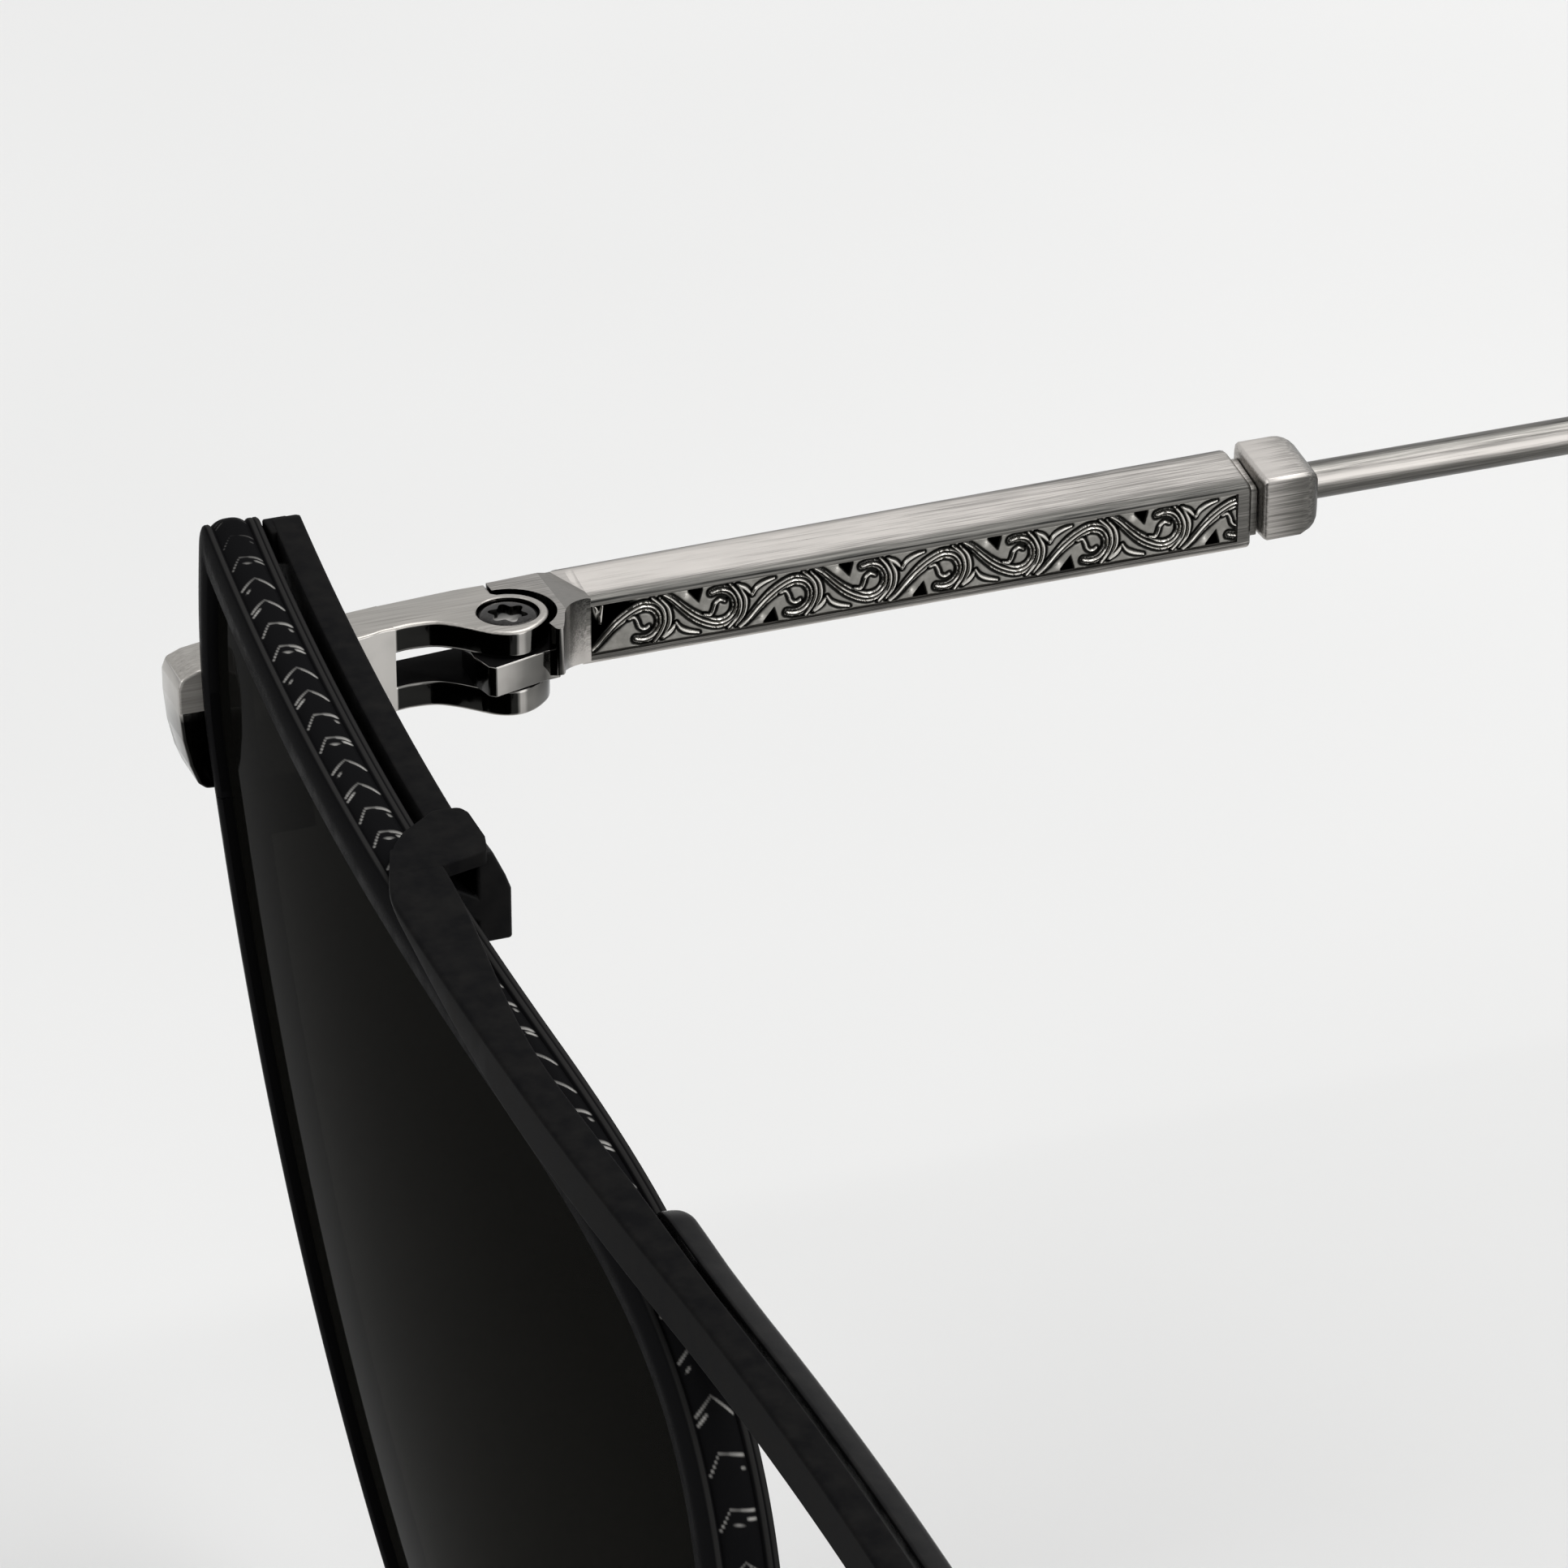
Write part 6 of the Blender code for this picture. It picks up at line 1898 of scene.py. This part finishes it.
        # The sleeve and the wire take silver with painted shading from these painted light levels.
        bench.finish("sleeve", cap, side, body, "brushed_silver",
                     [bench.palette.shaded], ["temple_cap"], sharp=40.0, shine=self.glow)
        stops = np.append(np.linspace(self.cap_end - 0.0015, self.bend_start, 30, endpoint=False), self.bend_start)
        rod = loft([self.ring(float(stop), self.wire, self.wire, 48) for stop in stops])
        bench.finish("wire", rod, side, body, "brushed_silver", [bench.palette.shaded],
                     ["temple_wire"], sharp=50.0, flat=False, shine=self.streak)
        bench.finish("ear_tip", self.tip(), side, body, "dark_tip", [bench.palette.tip],
                     ["temple_tip"], sharp=50.0, flat=False)


@dataclass
class NosePad:
    """A clear pad on its stem, the arm's screw box and the screw it rocks on."""

    front: Front
    span: float = 0.0170
    at_y: float = -0.0055
    at_z: float = -0.0150
    half_length: float = 0.0065
    half_width: float = 0.0038
    half_thick: float = 0.00085
    facing: tuple[float, float, float] = (0.85, 0.42, -0.25)
    reach: float = 0.0023
    stem: float = 0.0008
    box_half: float = 0.0013
    floor: float = 0.0016
    screw: float = 0.00045
    screw_head: float = 0.00075
    arm: float = 0.0005
    fit: float = 0.00005
    root_in: float = 0.0013
    root_down: float = 0.0156
    arm_lead: tuple[float, float, float] = (0.0005, 0.0042, 0.0022)
    arm_tail: tuple[float, float, float] = (-0.0030, 0.0005, 0.0040)

    def axes(self) -> tuple[Vector, Vector, Vector, Vector]:
        """Return the pad's long, cross and facing axes and its screw's centre."""
        facing = Vector(self.facing).normalized()
        upward = Vector((0.0, 0.0, 1.0))
        long_axis = (upward - upward.dot(facing) * facing).normalized()
        centre = Vector((self.front.half_span - self.span / 2, self.at_y, self.at_z))
        return long_axis, long_axis.cross(facing), facing, centre - self.reach * facing

    def settle(self, bm: Mesh) -> Mesh:
        """Move a shape drawn in (long, across, facing) to the pad's place."""
        long_axis, across, facing, centre = self.axes()
        for vert in bm.verts:
            u, v, n = vert.co
            vert.co = centre + u * long_axis + v * across + n * facing
        bmesh.ops.recalc_face_normals(bm, faces=bm.faces[:])
        return bm

    def pad(self) -> Mesh:
        """Return the pad with its softly crowned faces and its stem."""
        back = self.reach - self.half_thick
        rings = []
        for angle in np.linspace(-math.pi / 2, math.pi / 2, 17):
            scale = 1.0 - 0.24 * (1 - math.cos(float(angle)) ** 0.6) if abs(angle) < 1.57 else 0.76
            level = back + self.half_thick * (1 + 0.93 * math.sin(float(angle)))
            turns = np.linspace(0.0, 2 * math.pi, 64, endpoint=False)
            width = self.half_width * (1.0 - 0.12 * np.sin(turns))
            rings.append(np.column_stack((scale * self.half_length * np.sin(turns), scale * width * np.cos(turns),
                                          np.full(64, level))))
        for share in (0.5, 0.0):
            smaller = rings[-1] * np.array((share, share, 1.0))
            smaller[:, 2] = back + 2 * self.half_thick
            rings.append(smaller)
        pad = loft(rings)
        stem = ease(box((-0.0007, -self.stem, -self.stem), (0.0007, self.stem, back + 0.5 * self.half_thick)),
                    0.00012)
        pad = combine(pad, stem, Union.JOIN)
        bore = round_bar(self.screw + self.fit, -0.0016, 0.0016, 32, "y")
        return self.settle(combine(pad, bore, Union.CUT))

    def holder(self) -> Mesh:
        """Return the arm: a bent wire that ends in a screw box."""
        case = ease(box((-0.0012, -self.box_half, -self.floor), (0.0012, self.box_half, 0.0009)), 0.00014)
        gap = self.stem + self.fit
        case = combine(case, box((-0.0024, -gap, -0.00115), (0.0024, gap, 0.0024)), Union.CUT)
        bore = round_bar(self.screw + self.fit, -0.0039, 0.0039, 32, "y")
        case = self.settle(combine(case, bore, Union.CUT))
        facing, centre = self.axes()[2], self.axes()[3]
        root_x, root_z = self.front.nasal - self.root_in, self.front.top - self.root_down
        root = Vector((root_x, float(self.front.depth(root_x, root_z)) + self.front.rim_depth + self.fit, root_z))
        end = centre - (self.floor - 0.0003) * facing
        c1, c2 = root + Vector(self.arm_lead), end + Vector(self.arm_tail)
        rings = []
        for t in np.linspace(0.0, 1.0, 40):
            t = float(t)
            point = (1 - t) ** 3 * root + 3 * (1 - t) ** 2 * t * c1 + 3 * (1 - t) * t * t * c2 + t ** 3 * end
            s = min(max(t, 0.001), 0.999)
            slope = ((1 - s) ** 2 * (c1 - root) + 2 * (1 - s) * s * (c2 - c1) + s * s * (end - c2)).normalized()
            if t == 0.0:
                slope = Vector((0.0, 1.0, 0.0))
            first = slope.cross(Vector((1.0, 0.0, 0.0))).normalized()
            second = slope.cross(first)
            rings.append([point + self.arm * (math.cos(a) * first + math.sin(a) * second)
                          for a in np.linspace(0.0, 2 * math.pi, 24, endpoint=False)])
        return combine(case, loft(rings), Union.JOIN)

    def build(self, bench: Bench, side: Side) -> None:
        """Make one pad with its arm and screw."""
        bench.finish("pad_holder", self.holder(), side, "front", "brushed_silver", [bench.palette.silver], ["pad_arm"])
        start, seat = -self.box_half - 0.0001, self.box_half + self.fit
        screw = turned(((0.0, start), (self.screw, start), (self.screw, seat), (self.screw_head, seat),
                        (self.screw_head, seat + 0.00024), (0.93 * self.screw_head, seat + 0.00034),
                        (0.75 * self.screw_head, seat + 0.0004), (0.0, seat + 0.0004)), 40)
        slot = box((-0.002, -0.0001, seat + 0.0002), (0.002, 0.0001, seat + 0.001))
        screw = combine(screw, slot, Union.CUT)
        bmesh.ops.rotate(screw, cent=(0, 0, 0), matrix=Matrix.Rotation(-math.pi / 2, 3, "X"), verts=screw.verts[:])
        bench.finish("pad_pin_screw", self.settle(screw), side, "front", "dark_screw",
                     [bench.palette.steel], ["pad_screw"])
        bench.finish("soft_pad", self.pad(), side, "pad_" + side.label, "clear_pad",
                     [bench.palette.pad], ["nose_pad"], sharp=60.0, flat=False)


@dataclass
class Studio:
    """The pale floor, the soft lights and the camera."""

    hinge: Vector
    eye: tuple[float, float, float] = (0.22146, -0.07571, 0.11834)
    heading: float = 21.3
    pitch: float = 28.2
    lens: float = 167.7
    pale: float = 0.86
    light: float = 0.42

    def floor(self) -> None:
        """Lay the floor, which shows its own pale colour to the camera and keeps the shadow."""
        recipe = Recipe("pale_floor", (self.pale, self.pale, self.pale), 0.0, 0.7)
        recipe.fix("Specular IOR Level", 0.1)
        mottle = recipe.noise(9.0, 3.0)
        recipe.colour(recipe.blend(mottle, (0.80, 0.80, 0.795), (0.84, 0.84, 0.835)))
        bm = bmesh.new()
        bmesh.ops.create_grid(bm, x_segments=8, y_segments=8, size=3.0)
        mesh = bpy.data.meshes.new("floor")
        bm.to_mesh(mesh)
        bm.free()
        mesh.materials.append(recipe.material)
        floor = bpy.data.objects.new("floor", mesh)
        floor.location.z = -0.00002
        bpy.context.scene.collection.objects.link(floor)

    def world(self) -> None:
        """Give the world a pale look and a low, even light."""
        world = bpy.data.worlds.new("pale_room")
        bpy.context.scene.world = world
        world.use_nodes = True
        tree = world.node_tree
        tree.nodes.clear()
        path = tree.nodes.new("ShaderNodeLightPath")
        seen, both = tree.nodes.new("ShaderNodeMath"), tree.nodes.new("ShaderNodeMath")
        seen.operation = both.operation = "ADD"
        both.use_clamp = True
        tree.links.new(path.outputs["Is Camera Ray"], seen.inputs[0])
        tree.links.new(path.outputs["Is Glossy Ray"], seen.inputs[1])
        tree.links.new(seen.outputs["Value"], both.inputs[0])
        tree.links.new(path.outputs["Is Transmission Ray"], both.inputs[1])
        mix = tree.nodes.new("ShaderNodeMixShader")
        out = tree.nodes.new("ShaderNodeOutputWorld")
        tree.links.new(both.outputs["Value"], mix.inputs["Fac"])
        for slot, grey, strength in ((1, 1.0, self.light), (2, self.pale, 1.0)):
            shade = tree.nodes.new("ShaderNodeBackground")
            shade.inputs["Color"].default_value = (grey, grey, grey, 1.0)
            shade.inputs["Strength"].default_value = strength
            tree.links.new(shade.outputs["Background"], mix.inputs[slot])
        tree.links.new(mix.outputs["Shader"], out.inputs["Surface"])

    def lamp(self, name: str, place: Sequence[float], size: float, power: float) -> None:
        """Hang a soft square lamp that looks at the hinge.

        Args:
            name: The lamp's name.
            place: Where it hangs, from the hinge.
            size: Its side length.
            power: Its power in watts.
        """
        data = bpy.data.lights.new(name, "AREA")
        data.size = size
        data.energy = power
        lamp = bpy.data.objects.new(name, data)
        offset = Vector(place)
        lamp.location = self.hinge + offset
        lamp.rotation_euler = (-offset).to_track_quat("-Z", "Y").to_euler()
        bpy.context.scene.collection.objects.link(lamp)

    def camera(self) -> None:
        """Set the camera where the photograph was taken from."""
        data = bpy.data.cameras.new("camera")
        data.lens = self.lens
        data.sensor_width = 36.0
        data.clip_start = 0.01
        data.clip_end = 20.0
        camera = bpy.data.objects.new("camera", data)
        heading, pitch = math.radians(self.heading), math.radians(self.pitch)
        look = Vector((-math.cos(heading) * math.cos(pitch), math.sin(heading) * math.cos(pitch), -math.sin(pitch)))
        camera.location = self.hinge + Vector(self.eye)
        camera.rotation_euler = look.to_track_quat("-Z", "Y").to_euler()
        bpy.context.scene.collection.objects.link(camera)
        bpy.context.scene.camera = camera

    def build(self) -> None:
        """Set up the whole stage."""
        self.floor()
        self.world()
        self.lamp("overhead", (-0.05, 0.35, 0.75), 0.7, 5.0)
        self.lamp("nose_side", (0.60, 0.30, 0.20), 0.5, 0.9)
        self.lamp("front_fill", (0.10, -0.70, 0.45), 0.5, 1.2)
        self.camera()
        bpy.context.scene.view_settings.view_transform = "Standard"


def main() -> None:
    """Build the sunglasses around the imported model."""
    logging.basicConfig(level=logging.INFO, format="%(message)s")
    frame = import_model()
    joint = next(item for item in frame["joints"] if item["name"] == "temple_right_fold")
    hinge = Vector(joint["pos_m"])
    front = Front()
    bench = Bench(hinge, Palette())
    bar = BrowBar(front)
    bar.build(bench)
    Bridge(bar).build(bench)
    for side in Side:
        Rim(front).build(bench, side)
        Lens(front).build(bench, side)
        EndPiece(front).build(bench, side)
        RimLock(front).build(bench, side)
        HingeScrew().build(bench, side)
        Bracket(bar).build(bench, side)
        TempleBar().build(bench, side)
        TempleRear().build(bench, side)
        NosePad(front).build(bench, side)
    Studio(hinge).build()
    LOG.info("%d pieces", bench.made)
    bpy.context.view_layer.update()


if __name__ == "__main__":
    main()
